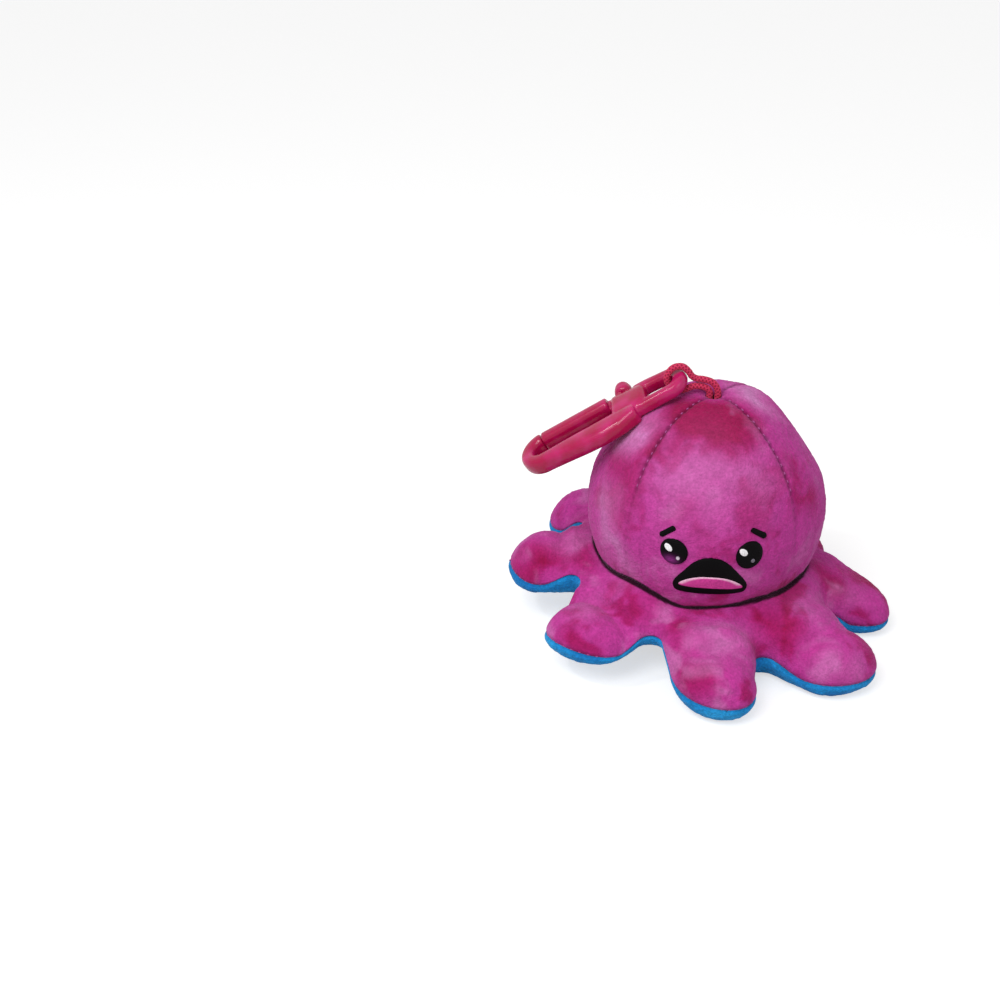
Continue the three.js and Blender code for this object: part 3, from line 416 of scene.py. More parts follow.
# %% Thread, felt, cord and plastic
def two_toned(name, colour, other, mark, grain, bump, **values):
    """A base colour, a second one where the piece is marked, a grain of a size, detail and contrast, and a bump
    of sizes and a depth."""
    material, tree, shader = blank(name, **values)
    colour = tint(tree, linear(colour), linear(other), marked(tree, mark))
    tree.links.new(grained(tree, colour, *grain), shader.inputs["Base Color"])
    bumped(tree, shader, *bump)
    return material


def thread(name, colour, other):
    """Satin-stitch thread, which hardly changes from one thread to the next."""
    return two_toned(name, colour, other, "pale", (0.6, 2.0, 0.15), ((0.35,), 0.05),
                     Roughness=0.6, Specular_IOR_Level=0.06)


def felt(name, colour, other):
    """Pressed felt, with fibres of half a millimetre."""
    return two_toned(name, colour, other, "dark", (0.5, 4.0, 0.12), ((0.5, 0.25), 0.12),
                     Roughness=0.95, Specular_IOR_Level=0.15, Sheen_Weight=0.25)


# the black thread's second colour, #7a2a70, is the painted violet reflection on the left eye
black_thread = thread("rayon thread, black", "#040304", "#7a2a70")
white_thread = thread("rayon thread, white", "#f4f2f4", "#d8d4d8")
spark_thread = thread("rayon thread, grey lilac", "#f6e4f0", "#77707c")
# the pink thread's second colour, #e6b0cc, is the painted highlight on the tongue's rim
pink_thread = thread("rayon thread, pink", "#cf4296", "#e6b0cc")
stitch_thread = thread("sewing thread, pale pink", "#a8548f", "#efc0de")
band_felt = felt("polyester felt, crimson", "#c8206c", "#961450")
# the pink felt's second colour, #c84878, is the painted shade between the petals
flower_felt = felt("polyester felt, pink", "#e8709a", "#c84878")
disc_felt = felt("polyester felt, yellow", "#f2d014", "#a87818")


def braid_cord():
    """Braided polyester: crimson, with a painted highlight that makes the crossings paler where the strands stand
    out.
    """
    material, tree, shader = blank(
        "braided polyester cord, crimson", Roughness=0.7, Specular_IOR_Level=0.2, Sheen_Weight=0.08)
    # d63660 is the painted highlight on the crossings
    colour = tint(tree, linear("#8a0a34"), linear("#d63660"), marked(tree, "pale"))
    tree.links.new(colour, shader.inputs["Base Color"])
    bumped(tree, shader, (0.3,), 0.06)
    return material


FLOW_STREAK = 7  # mm across a streak in the plastic


def moulded_plastic():
    """Injection-moulded polypropylene: smooth, a little translucent, with faint flow streaks."""
    material, tree, shader = blank(
        "moulded polypropylene, pink", Roughness=0.2, IOR=1.49, Specular_IOR_Level=0.28,
        Subsurface_Weight=0.15, Subsurface_Scale=1.2 * MM, Subsurface_Radius=(1.0, 0.2, 0.3))
    share = ranged(tree, grain_of(tree, FLOW_STREAK), (0.42, 0.68), (0.0, 1.0))
    tree.links.new(tint(tree, linear("#a80a46"), linear("#be2068"), share), shader.inputs["Base Color"])
    bumped(tree, shader, (3.0,), 0.06, 0.5)
    return material


cord_braid, plastic = braid_cord(), moulded_plastic()
print("materials", len(bpy.data.materials))

# %% [markdown]
# ## Cord
#
# A short doubled cord comes out of the crown, passes round the clip's bar and goes back in. Its route is the
# imported part's. It is a braid of eight strands: seen close, two sets of strands wind round it in opposite
# directions and stand out where they cross on top.

# %% Cord loop
CORD_DIAMETER = 2.1
CORD_ROUTE = np.array([  # x and z, in the plane y 0
    [1.2, 75.6], [1.2, 77], [1.25, 79], [0.6, 81], [-1, 82.5], [-3.4, 83.2], [-5.4, 83.4], [-6.9, 84.2],
    [-8, 85.7], [-9.6, 87.1], [-11.4, 87.2], [-12.8, 86.6], [-14, 85.1], [-14.4, 83.1], [-13.7, 81.2],
    [-12.3, 79.9], [-10.3, 79.4], [-8.3, 80], [-6.2, 80.9], [-3.8, 80.9], [-2, 80.2], [-1.25, 79],
    [-1.2, 77], [-1.2, 75.6],
])
CORD_STEP, CORD_SIDES = 0.16, 32
BRAID_STRANDS, BRAID_PITCH, BRAID_DEPTH = 4, 4.4, 0.16  # strands wound each way, mm for a turn, mm they stand out


def run_of(line):
    """How far along a line of points each point is."""
    return np.concatenate([[0], np.cumsum(np.linalg.norm(np.diff(line, axis=0), axis=1))])


def at_places(where, run, line):
    """The points of a line where its run has the given values."""
    return np.stack([np.interp(where, run, line[:, k]) for k in range(line.shape[1])], -1)


def along_curve(points, step):
    """Even places along a Catmull-Rom curve: each stretch is the cubic through its ends whose slope at a
    point is half the way between that point's neighbours."""
    padded = np.concatenate([[2 * points[0] - points[1]], points, [2 * points[-1] - points[-2]]])
    t = np.linspace(0, 1, 24, endpoint=False)[:, None]
    stretches = []
    for k in range(len(points) - 1):
        a, b, c, d = padded[k:k + 4]
        stretches.append(0.5 * (2 * b + (c - a) * t + (2 * a - 5 * b + 4 * c - d) * t**2
                                + (3 * b - a - 3 * c + d) * t**3))
    dense = np.concatenate([*stretches, points[-1:]])
    run = run_of(dense)
    places = np.linspace(0, run[-1], int(run[-1] / step) + 1)
    return at_places(places, run, dense), places


route, run = along_curve(np.stack([CORD_ROUTE[:, 0], CORD_ROUTE[:, 0] * 0, CORD_ROUTE[:, 1]], -1), CORD_STEP)
heading = unit(np.gradient(route, axis=0))
sideways = np.array([0.0, 1.0, 0.0])
outwards = np.cross(heading, sideways)
turn = full_turn(CORD_SIDES)
wind = 2 * np.pi * run[:, None] / BRAID_PITCH
strands = np.maximum(np.cos(BRAID_STRANDS * (turn - wind)), np.cos(BRAID_STRANDS * (turn + wind)))
radius = CORD_DIAMETER / 2 - BRAID_DEPTH * (1 - strands) / 2
cord_grid = (route[:, None] + radius[..., None] * (np.cos(turn)[..., None] * outwards[:, None]
                                                    + np.sin(turn)[..., None] * sideways))
caps = [np.repeat(route[[end]], CORD_SIDES, 0)[None] for end in (0, -1)]
cord_grid = np.concatenate([caps[0], cord_grid, caps[1]])
strands = np.concatenate([strands[:1], strands, strands[-1:]])
# the mark pale is a painted highlight where the strands cross on top
cord = make_piece("cord_braid", cord_grid, grid_faces(len(cord_grid), CORD_SIDES, wrap=True), cord_braid,
                  {"pale": smooth(strands, -0.2, 1.0)}, weld=True)
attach(cord, "cord")
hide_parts("cord_loop")
print("cord", round(float(run[-1]), 1), "mm long")

# %% [markdown]
# ## Blotches, painted shade and painted highlight
#
# The velour is blotchy. Noise at three sizes gives blotches everywhere, and a few patches are listed where the
# real toy
# has its strongest ones: wine-dark under the crown and on the arms, pale on the forehead and on the sides of the
# head.
# The wine-dark patches are partly painted shade and the pale ones partly painted highlight. Each patch is a
# centre, a radius and a strength.

# %% How dark and how pale the cloth is, with painted shade and painted highlight
# wine-dark patches, partly the velour's uneven tone and partly painted shade: x, y, z of the centre, radius and
# strength
WINE_AND_PAINTED_SHADE_PATCHES = np.array([
    [0.5, -13.5, 76.3, 9, 1.5], [-6.5, -10.5, 77, 6, 0.8], [8.5, -12.5, 75.5, 6, 0.9], [-27.5, -15, 61, 7, 0.7],
    [29, -19.5, 53.5, 5, 0.6], [22.5, -17.5, 65.5, 5, 0.5], [-10, -33, 55, 5, 0.35], [-19, -18, 67.5, 4, 0.6],
    [-8.5, -41.5, 19, 5, 0.7], [-6, -57, 14, 7, 0.7], [22, -41, 17, 6, 0.9], [18.5, -32, 20, 5, 0.7],
    [40, -9, 20, 6, 0.8], [-42, -43, 20, 6, 0.6], [-19, -30, 20, 6, 0.6], [-52, -9, 24, 6, 0.8],
    [-38, -9, 24, 6, 0.7], [-59, -11, 17, 7, 0.8], [-43, 15, 30, 8, 0.7], [55, 3, 12, 6, 0.6],
    [31, 38, 20, 8, 0.6], [-4, 52, 18, 9, 0.7],
])
# pale lilac patches, partly the velour's uneven tone and partly painted highlight: x, y, z of the centre, radius
# and strength
PALE_AND_PAINTED_HIGHLIGHT_PATCHES = np.array([
    [-20.5, -8.5, 71.5, 6, 0.9], [-25, -10, 67, 5, 0.7], [-31.5, -17.5, 50.5, 6, 0.5], [-6, -27, 66, 15, 0.45],
    [9, 4, 77.5, 5, 0.8], [13, -0.5, 76.5, 5, 0.8], [13, -27, 63.5, 8, 0.3], [8, -44, 18, 6, 0.35],
    [29, -30, 20, 6, 0.35], [46, -46, 12, 6, 0.35], [47, -12, 17, 6, 0.3], [-38, -31, 24, 7, 0.4],
    [-44, -4, 28, 6, 0.35], [-33.5, -15, 47, 5, 0.6], [-31, -20, 39, 5, 0.7], [-27.5, -22.5, 31, 5, 0.6],
    [30, 18, 58, 9, 0.6], [-10, 34, 52, 11, 0.5], [6, 56, 14, 7, 0.4],
])
WANDER, WANDER_SIZE, WANDER_SEED = 3.5, 7, 31  # how far the blotches' edges wander, in mm
BLOTCHES = ((1, 12, 41), (0.5, 6, 42), (0.35, 2.4, 43))
DARK_BLOTCHES, PALE_BLOTCHES = (0.65, 0.4), (0.5, 0.3)  # how strong on the arms and on the head


def patches(points, table):
    """Sum of round soft patches: strength times e to the minus squared distance over radius squared."""
    return sum(strength * np.exp(-(((points - (x, y, z)) ** 2).sum(-1)) / radius**2)
               for x, y, z, radius, strength in table)


def blotches_and_painted_light(points):
    """Marks dark and pale: blotches from noise, with the listed patches added, which are partly painted shade and
    painted highlight.
    """
    bend = points + WANDER * np.stack([noise(points, WANDER_SIZE, WANDER_SEED + k) for k in range(3)], -1)
    blotch = layered(bend, BLOTCHES)
    head_share = smooth(points[..., 2], 24, 40)
    dark = mix(*DARK_BLOTCHES, head_share) * smooth(blotch, 0.1, 1.0) + patches(bend, WINE_AND_PAINTED_SHADE_PATCHES)
    free = 1 - np.clip(dark, 0, 0.7)
    pale = mix(*PALE_BLOTCHES, head_share) * smooth(-blotch, 0.2, 1.1) + patches(bend, PALE_AND_PAINTED_HIGHLIGHT_PATCHES) * free
    return {"dark": np.clip(dark, 0, 1), "pale": np.clip(pale, 0, 1)}


# %% [markdown]
# ## Head
#
# The head is four velour panels sewn together and stuffed to a ball. The panels meet in seams that pull in
# between them. It could be a sphere with painted lines, but the seams change the outline and the shading,
# so the surface itself is pulled in: a wide, shallow pull for the panels' fullness and a narrow crease with
# the pinch of each stitch.

# %% Head surface
HEAD_RADIUS, HEAD_HALF_HEIGHT, HEAD_CENTRE_Z = 37.3, 38.3, 40.6
SEAM_DEPTH, CROWN_DIP, CROWN_DIP_ANGLE = 1.2, 1.2, math.radians(9)
PANELS = 4
FRONT = -math.pi / 2
CLOTH = 1.4
CREASE_DEPTH, CREASE_WIDTH, STITCH, STITCH_PINCH = 0.75, 0.75, 2.7, 0.25
SIDE_CREASE, CREASE_FADE = 0.3, (math.radians(52), math.radians(80))  # share left low down, and where it fades
HEAD_LUMPS = ((0.35, 13, 5), (0.15, 6, 6))
CROWN_HOLE, NECK_Z = 2.5, 20.5
HEAD_COLS, HEAD_ROWS = 480, 190


def seam_distance(around, down, radius=HEAD_RADIUS):
    """Millimetres along the surface to the nearest seam: the angle to it times the radius at that height."""
    quarter = 2 * np.pi / PANELS
    off = np.abs(np.mod(around - FRONT, quarter) - quarter / 2)
    return off * radius * np.sin(down)


def head_point(around, down, inset):
    """The ball: a squashed sphere, pulled in by a cosine wave at the seams and dipped at the crown."""
    pull = SEAM_DEPTH * (1 - np.cos(PANELS * (around - FRONT))) / 2
    out = HEAD_RADIUS - inset - pull * np.sin(down)
    dip = CROWN_DIP * bell(down, CROWN_DIP_ANGLE)
    z = HEAD_CENTRE_Z + (HEAD_HALF_HEIGHT - inset) * np.cos(down) - dip
    return np.stack([out * np.sin(down) * np.cos(around), out * np.sin(down) * np.sin(around), z + 0 * around], -1)


def crease(around, down):
    """The narrow seam: a bell-shaped groove that is deep near the crown and fades down the sides, pinched
    by each stitch."""
    fade = mix(1.0, SIDE_CREASE, smooth(down, *CREASE_FADE))
    pinch = 1 - STITCH_PINCH + STITCH_PINCH * np.cos(2 * np.pi * down * HEAD_HALF_HEIGHT / STITCH)
    return fade * pinch * bell(seam_distance(around, down), CREASE_WIDTH)


ARMS = 8
# the arms whose root is drawn up: which arm, counted from 0 at the front, how far out, how high, over what width
RAISED_ARMS = ((6, 48.0, 7.0, 18.0), (5, 48.0, 4.5, 15.0))
# where the skirt meets the head higher or lower: at what angle, by how much, over what angle, in degrees and mm
CREASE_BELLS = ((-132, 3.2, 16), (-103, -2.0, 12), (-66, 0.8, 10), (-25, 1.8, 16))
# where the head is fuller or pressed in: angles round and down, by how much, over what angle
HEAD_BULGES = ((28, 24, 1.6, 20), (178, 30, 0.7, 18), (2, 50, -1.9, 21), (182, 58, -0.8, 13))


def turn_from(around, degrees):
    """The angle from a direction given in degrees, between minus and plus half a turn."""
    return np.angle(np.exp(1j * (around - math.radians(degrees))))


def spoke_of(index):
    """Direction of an arm counted from 0 at the front, or of the border of two arms at a half."""
    return FRONT + 2 * np.pi * index / ARMS


def off_spoke(points, index, out):
    """Distance in the plan from a place on a spoke, so far out from the axis."""
    spoke = spoke_of(index)
    return np.hypot(points[..., 0] - out * math.cos(spoke), points[..., 1] - out * math.sin(spoke))


def head_radius(z):
    """The ball's radius at a height."""
    return HEAD_RADIUS * np.sqrt(np.maximum(1 - ((z - HEAD_CENTRE_Z) / HEAD_HALF_HEIGHT) ** 2, 0))


def crease_rise(points):
    """How much higher the skirt meets the head than its mean line, in mm: a sum of bells round the head."""
    around = np.arctan2(points[..., 1], points[..., 0])
    return sum(height * bell(turn_from(around, at), math.radians(width)) for at, height, width in CREASE_BELLS)


def arm_rise(points):
    """How high the roots of some arms are drawn up: a bell over the distance from a place on each."""
    return sum(height * bell(off_spoke(points, index, out), width) for index, out, height, width in RAISED_ARMS)


def head_bulge(around, down):
    """Stuffing lies unevenly: two panels stand fuller beside the crown and two are pressed in at their sides."""
    total = 0
    for at, under, height, width in HEAD_BULGES:
        off = turn_from(around, at) * np.sin(down)
        total = total + height * np.exp(-((off**2 + (down - math.radians(under)) ** 2) / math.radians(width) ** 2))
    return total


CROWN_EASE, GROOVE_BARE, INNER_ROWS = 0.05, 0.5, 7
# painted shade under the skirt's rim, where the head goes into it: from and to what height, and how uneven; then
# how strong the painted shade in the seams' grooves is
NECK_SHADE, NECK_UNEVEN, GROOVE_SHADE = (24.3, 23.7), 0.35, 0.6
crown_down = math.asin(CROWN_HOLE / HEAD_RADIUS)
neck_down = math.acos((NECK_Z - HEAD_CENTRE_Z) / HEAD_HALF_HEIGHT)
around = full_turn(HEAD_COLS)
down = np.linspace(crown_down, neck_down, HEAD_ROWS)[:, None]
head_grid = head_point(around, down, 0.0)
head_normal = normals_of(head_grid, wrap=True)
head_normal *= np.sign((head_normal * (head_grid - (0, 0, HEAD_CENTRE_Z))).sum(-1, keepdims=True))
groove = crease(around, down)
fur = pile(head_grid, 11) * (1 - GROOVE_BARE * groove)
rise = head_bulge(around, down) + layered(head_grid, HEAD_LUMPS) - CREASE_DEPTH * groove + fur
rise *= smooth(down, crown_down, crown_down + CROWN_EASE)
head_outer = head_grid + rise[..., None] * head_normal
inner_down = np.linspace(neck_down, crown_down, INNER_ROWS)[:, None]
head_inner = head_point(around, inner_down, CLOTH)
head_rings = np.concatenate([head_outer, head_inner, head_outer[:1]])
neck_height = head_outer[..., 2] - crease_rise(head_outer) - arm_rise(head_outer)
neck_height = neck_height + NECK_UNEVEN * noise(head_grid, 4, 8)
marks = blotches_and_painted_light(head_outer)
# the mark seam is painted shade: in the seams' grooves and under the skirt's rim
marks["seam"] = np.clip(GROOVE_SHADE * groove + smooth(neck_height, *NECK_SHADE), 0, 1)
filler = np.zeros((INNER_ROWS + 1, HEAD_COLS))
marks = {key: np.concatenate([value, filler]) for key, value in marks.items()}
head_skin = make_piece("head_velour", head_rings, grid_faces(len(head_rings), HEAD_COLS, wrap=True), velour,
                       marks, weld=True)
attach(head_skin, "toy")
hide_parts(*["head_panel_" + side for side in ("front", "right", "back", "left")], "head_filling")
print("head", len(head_skin.data.polygons), "faces")

# %% [markdown]
# ## Arms and skirt
#
# Below the head the cloth spreads into a skirt that runs into eight arms with no seam between them. Each
# eighth is one piece of velour above and one of plush below, sewn together round its edge. The plan is a
# wedge that becomes a straight arm with a round end, and neighbours meet in a U. The height comes from how
# far a place is from the edge, as in an inflated pad: steep at the seam and level in the middle.

# %% Plan of one arm
ARM_REACH, HINGE_RADIUS, HINGE_Z = 60.5, 42.0, 10.6
LIFTS = np.radians([0, 0, 0, 0, 0, 16, 21, 26])
REACH_SHARES = [1.045, 1.08, 1.005, 0.97, 1.03, 1.065, 1.015, 1.0]
BEND_SHARES = [0.065, 0.06, -0.08, 0.03, 0.02, 0.01, -0.03, -0.06]
SWAY_SHARES = [0.0125, 0, 0, 0, 0, 0, 0, 0]  # how far an arm lies to one side already at its root
SIDE_HALF, END_HALF = 14.2, 12.8
HALF_WEDGE = np.pi / ARMS
CROTCH_RADIUS = 3.2
SINE_SHORT, COSINE = 0.617, 0.924  # of half the wedge: 1 less its sine, and its cosine
CROTCH = (SIDE_HALF + SINE_SHORT * CROTCH_RADIUS) / math.sin(HALF_WEDGE)  # from the axis to the U between two arms
CROTCH_X = CROTCH * math.cos(HALF_WEDGE)
SIDE_X = CROTCH_X + COSINE * CROTCH_RADIUS  # where the U has turned into the arm's straight side
TIP_HEIGHT_SHARES = [1, 1, 0.86, 0.75, 1, 1, 1, 1]
LOW_TIP_FALL_END = 54.0  # where the crest of an arm with a lower tip has come down
# the U's that are pulled up: which wedge border, counted in arms, how high, how high the plush away from the
# seam, and over what width
RAISED_US = ((7.5, 6.5, 10.0, 15.0), (6.5, 9.5, 9.0, 12.5), (5.5, 10.0, 8.0, 12.0), (2.5, 2.5, 2.5, 12.0))
ARM_COLS, WEDGE_ROWS, NOTCH_ROWS, END_ROWS, SIDE_STEP = 76, 34, 10, 30, 0.5


def half_width(x, round_start):
    """Half the plan's width: the wedge, then the U's arc, then the side, which narrows to a half circle."""
    wedge = x * math.tan(HALF_WEDGE)
    arc = SIDE_HALF + CROTCH_RADIUS - np.sqrt(np.maximum(CROTCH_RADIUS**2 - (SIDE_X - x) ** 2, 0))
    side = mix(SIDE_HALF, END_HALF, smooth(x, HINGE_RADIUS, round_start))
    end = np.sqrt(np.maximum(END_HALF**2 - np.maximum(x - round_start, 0) ** 2, 0))
    return np.where(x < CROTCH_X, wedge, np.where(x < SIDE_X, arc, np.where(x < round_start, side, end)))


def edge_distance(x, y, round_start):
    """How far a place in the plan is from the sewn edge: from the U's circle, the side or the end's circle."""
    y = np.abs(y)
    notch = np.hypot(SIDE_X - x, SIDE_HALF + CROTCH_RADIUS - y) - CROTCH_RADIUS
    side = mix(SIDE_HALF, END_HALF, smooth(x, HINGE_RADIUS, round_start)) - y
    end = END_HALF - np.hypot(x - round_start, y)
    return np.maximum(np.where(x < SIDE_X, notch, np.where(x < round_start, side, end)), 0)


def plan(inner, round_start):
    """The plan's grid: rings round the axis near the head that straighten into rows across the arm."""
    across = np.sin(np.linspace(-1, 1, ARM_COLS) * np.pi / 2)[None, :]
    reach = inner + (CROTCH - inner) * np.sin(np.linspace(0, 1, WEDGE_ROWS) * np.pi / 2)[:, None]
    straight = smooth(reach, inner + 2, CROTCH - 2)
    angle = HALF_WEDGE * across
    wedge_x = mix(reach * np.cos(angle), reach * math.cos(HALF_WEDGE), straight)
    wedge_y = mix(reach * np.sin(angle), reach * math.sin(HALF_WEDGE) * across, straight)
    notch = mix(CROTCH_X, SIDE_X, 1 - np.cos(np.linspace(0, 1, NOTCH_ROWS)[1:] * np.pi / 2))
    side = np.linspace(SIDE_X, round_start, int((round_start - SIDE_X) / SIDE_STEP) + 1)[1:]
    end = round_start + END_HALF * np.sin(np.linspace(0, 1, END_ROWS)[1:] * np.pi / 2)
    x = np.concatenate([notch, side, end])[:, None]
    y = half_width(x, round_start) * across
    return np.concatenate([wedge_x, x + 0 * across]), np.concatenate([wedge_y, y])


# %% [markdown]
# The section above the seam is close to a quarter of an ellipse in the distance from the edge. Below it is
# the same over a shorter distance, down to the floor that the toy stands on. Three arms are raised, so their
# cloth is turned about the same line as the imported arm, little by little from the skirt outwards. Two of them
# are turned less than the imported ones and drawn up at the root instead, as on the real toy.

# %% Height, lift and place of the arm cloths
TOP_ROOT, TOP_HEAD, TOP_TIP = 21.2, 23.0, 16.8
SEAM_ROOT, SEAM_TIPS = 8.6, [6.2, 5.6, 4.8, 4.8, 4.8, 4.8, 4.8, 4.2]
ROUNDING, UNDER_ROUNDING = 12.5, 6.5
LIFT_START, LIFT_END = CROTCH_X, 48.0
LIP_RADIUS, LIP_WIDTH, LIP_RISE = 28.4, 3.4, 3.2
PINCH_DEPTH, PINCH_HEIGHT, EDGE_FADE = 0.5, 0.7, 1.2
ARM_LUMP, ARM_LUMP_SIZE = 0.3, 9
NEAR_HEAD, UP_TO_HEAD = (43.0, 34.0), (12.0, 18.0)  # the distance and the height over which cloth meets the head


def swell(share):
    """Height over the edge as a share of the full height: the root of 1 less (1 - share) to the 2.2."""
    return np.sqrt(1 - (1 - np.clip(share, 0, 1)) ** 2.2)


def seam_height(x, round_start, index):
    """Height of the sewn edge: from the skirt down to the tip."""
    return mix(SEAM_ROOT, SEAM_TIPS[index], smooth(x, HINGE_RADIUS, round_start))


def top_height(x, y, round_start, index):
    """Height of the velour: the seam plus the swell of the distance from the edge."""
    fall = (HINGE_RADIUS, round_start) if TIP_HEIGHT_SHARES[index] == 1 else (CROTCH_X - 1, LOW_TIP_FALL_END)
    crest = mix(TOP_ROOT, TOP_TIP * TIP_HEIGHT_SHARES[index], smooth(x, *fall))
    crest = crest + (TOP_HEAD - TOP_ROOT) * smooth(x, HINGE_RADIUS, 32)
    seam = seam_height(x, round_start, index)
    return seam + (crest - seam) * swell(edge_distance(x, y, round_start) / ROUNDING)


def under_height(x, y, round_start, index):
    """Height of the plush: the seam less its swell down to the floor, and a lip up into the cavity."""
    seam = seam_height(x, round_start, index)
    lip = np.clip((LIP_RADIUS - np.hypot(x, y)) / LIP_WIDTH, 0, 1)
    down = swell(edge_distance(x, y, round_start) / UNDER_ROUNDING)
    return seam * (1 - down) + LIP_RISE * (1 - np.sqrt(1 - lip**2))


def arm_cloth(index, height, inner, seed, outside):
    """Outside and inside grids of one arm's cloth in the toy's frame, and its seam mark."""
    length = ARM_REACH * REACH_SHARES[index] - HINGE_RADIUS
    round_start = HINGE_RADIUS + length - END_HALF
    x, y = plan(inner, round_start)
    z = height(x, y, round_start, index)
    edge = edge_distance(x, y, round_start)
    bend = ARM_REACH * BEND_SHARES[index] * (np.maximum(x - HINGE_RADIUS, 0) / length) ** 2
    bend = bend + ARM_REACH * SWAY_SHARES[index] * smooth(x, CROTCH_X - 2, HINGE_RADIUS + 4)
    lift = LIFTS[index] * smooth(x, LIFT_START, LIFT_END)
    flat = np.stack([x, y + bend, z], -1)
    normal = normals_of(flat)
    normal *= np.sign((normal[..., 2:] * outside) + 1e-9)
    seam = bell(z - seam_height(x, round_start, index), PINCH_HEIGHT) * (x > CROTCH_X - 1)
    spoke = spoke_of(index)
    turned = place_arm(flat, lift, spoke)
    rough = (pile(turned, seed) + ARM_LUMP * noise(turned, ARM_LUMP_SIZE, seed + 7)) * smooth(edge, 0.0, EDGE_FADE)
    level = unit(normal * (1, 1, 0), 1e-6)
    fuzz = flat + rough[..., None] * normal - (PINCH_DEPTH * seam)[..., None] * level
    if outside < 0:
        fuzz[..., 2] = np.maximum(fuzz[..., 2], 0)
    inset = flat - CLOTH * normal
    near_edge = 1 - swell(edge / (ROUNDING if outside > 0 else UNDER_ROUNDING))
    outer, inner = (pulled_up(place_arm(side, lift, spoke), near_edge, outside) for side in (fuzz, inset))
    return outer, inner, seam


def pulled_up(points, near_edge, outside):
    """Some U's between two arms are drawn up: a bell over the distance from each. The velour rises most at the
    sewn edge, the plush by as much there and by its own height away from it. The cloth that meets the head
    follows the crease there."""
    rise = sum(mix(0 if outside > 0 else under, height, near_edge) * bell(off_spoke(points, border, CROTCH), width)
               for border, height, under, width in RAISED_US)
    near_head = smooth(np.hypot(points[..., 0], points[..., 1]), *NEAR_HEAD) * smooth(points[..., 2], *UP_TO_HEAD)
    rise = rise + arm_rise(points) + crease_rise(points) * near_head
    return points + rise[..., None] * np.array([0.0, 0.0, 1.0])


def place_arm(flat, lift, spoke):
    """Turns each point up by its lift about the hinge line, then the whole arm to its place round the toy."""
    x, y, z = flat[..., 0] - HINGE_RADIUS, flat[..., 1], flat[..., 2] - HINGE_Z
    out = HINGE_RADIUS + x * np.cos(lift) - z * np.sin(lift)
    up = HINGE_Z + x * np.sin(lift) + z * np.cos(lift)
    return np.stack([
        out * math.cos(spoke) - y * math.sin(spoke), out * math.sin(spoke) + y * math.cos(spoke), up], -1)


# %% Eight velour tops and eight plush undersides
STITCH_PITCH, EDGE_STITCH, SEAM_STITCH = 2.7, (0.45, 0.17), (0.5, 0.22)  # pitch, then half sizes
GRAIN_ROWS, GRAIN_SIDES = 7, 8
EDGE_FROM = WEDGE_ROWS + 3  # the row of the plan from which the edge is sewn in sight
TOP_FROM, UNDER_FROM = 29.0, 25.2  # how far from the axis each cloth starts
# painted shade along the sewn edge, and painted shade where the cloth comes this near the head
EDGE_SHADE, HEAD_SHADE = 0.35, (0.95, 0.4)  # along the sewn edge, and where the cloth comes this near the head


def on_arm(piece):
    """Bakes the piece's placement into its mesh."""
    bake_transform(piece)


def stitches(name, places, tangents, half_sizes, material):
    """Small beads of thread: one rounded grain, a cosine long and a sine thick, copied to every place."""
    half_long, half_thick = half_sizes
    along = np.linspace(-np.pi / 2, np.pi / 2, GRAIN_ROWS)[:, None]
    round_it = full_turn(GRAIN_SIDES)
    ahead = unit(tangents)
    side = unit(np.cross(ahead, np.array([0.0, 0.0, 1.0])), 1e-6)
    reach = (half_long * np.sin(along) + 0 * round_it, half_thick * np.cos(along) * np.cos(round_it),
             half_thick * np.cos(along) * np.sin(round_it))
    ways = (ahead, side, np.cross(side, ahead))
    grain = sum(far[None, ..., None] * way[:, None, None] for far, way in zip(reach, ways)) + places[:, None, None]
    one = grid_faces(GRAIN_ROWS, GRAIN_SIDES, wrap=True)
    faces = (one[None] + np.arange(len(places))[:, None, None] * GRAIN_ROWS * GRAIN_SIDES).reshape(-1, 4)
    made = make_piece(name, grain, faces, material, weld=True)
    return made


def with_ways(at, run, line, step):
    """Places of a line where its run has the given values, and the line's way there over a step each way."""
    return at_places(at, run, line), at_places(at + step, run, line) - at_places(at - step, run, line)


for index in range(ARMS):
    number = index + 1
    for part, height, inner, seed, side, cloth, slot in (
        ("velour", top_height, TOP_FROM, 20, 1, velour, "magenta_velour"),
        ("plush", under_height, UNDER_FROM, 60, -1, plush, "blue_plush"),
    ):
        outer, inside, seam = arm_cloth(index, height, inner, seed, side)
        marks = blotches_and_painted_light(outer)
        off_head = np.hypot(outer[..., 0], outer[..., 1]) - head_radius(outer[..., 2])
        # the mark seam is painted shade along the sewn edge and, on the velour, next to the head
        marks["seam"] = np.clip(EDGE_SHADE * seam + (smooth(off_head, *HEAD_SHADE) if side > 0 else 0), 0, 1)
        both = np.concatenate([outer.reshape(-1, 3), inside.reshape(-1, 3)])
        marks = {key: np.tile(value.ravel(), 2) for key, value in marks.items()}
        faces = shell_faces(*outer.shape[:2])
        made = make_piece("arm_%d_%s" % (number, part), both, faces, cloth, marks, weld=True)
        on_arm(made)
        name = "top" if side > 0 else "bottom"
        extra = ["arm_%d_filling" % number] if side > 0 else []
        if index == 0:
            extra += ["skirt_top", "skirt_filling"] if side > 0 else ["skirt_bottom"]
        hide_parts("arm_%d_%s" % (number, name), *extra)
        if side > 0:
            edge_line = np.concatenate([outer[EDGE_FROM:, 0], outer[EDGE_FROM:-1, -1][::-1]])
            edge_line = edge_line + (0, 0, EDGE_STITCH[1])
            run = run_of(edge_line)
            places, ahead = with_ways(np.arange(STITCH_PITCH / 2, run[-1], STITCH_PITCH), run, edge_line, 0.2)
            on_arm(stitches("arm_%d_stitches" % number, places, ahead, EDGE_STITCH, stitch_thread))
print("arm cloths", len(made.data.polygons), "faces in the last")

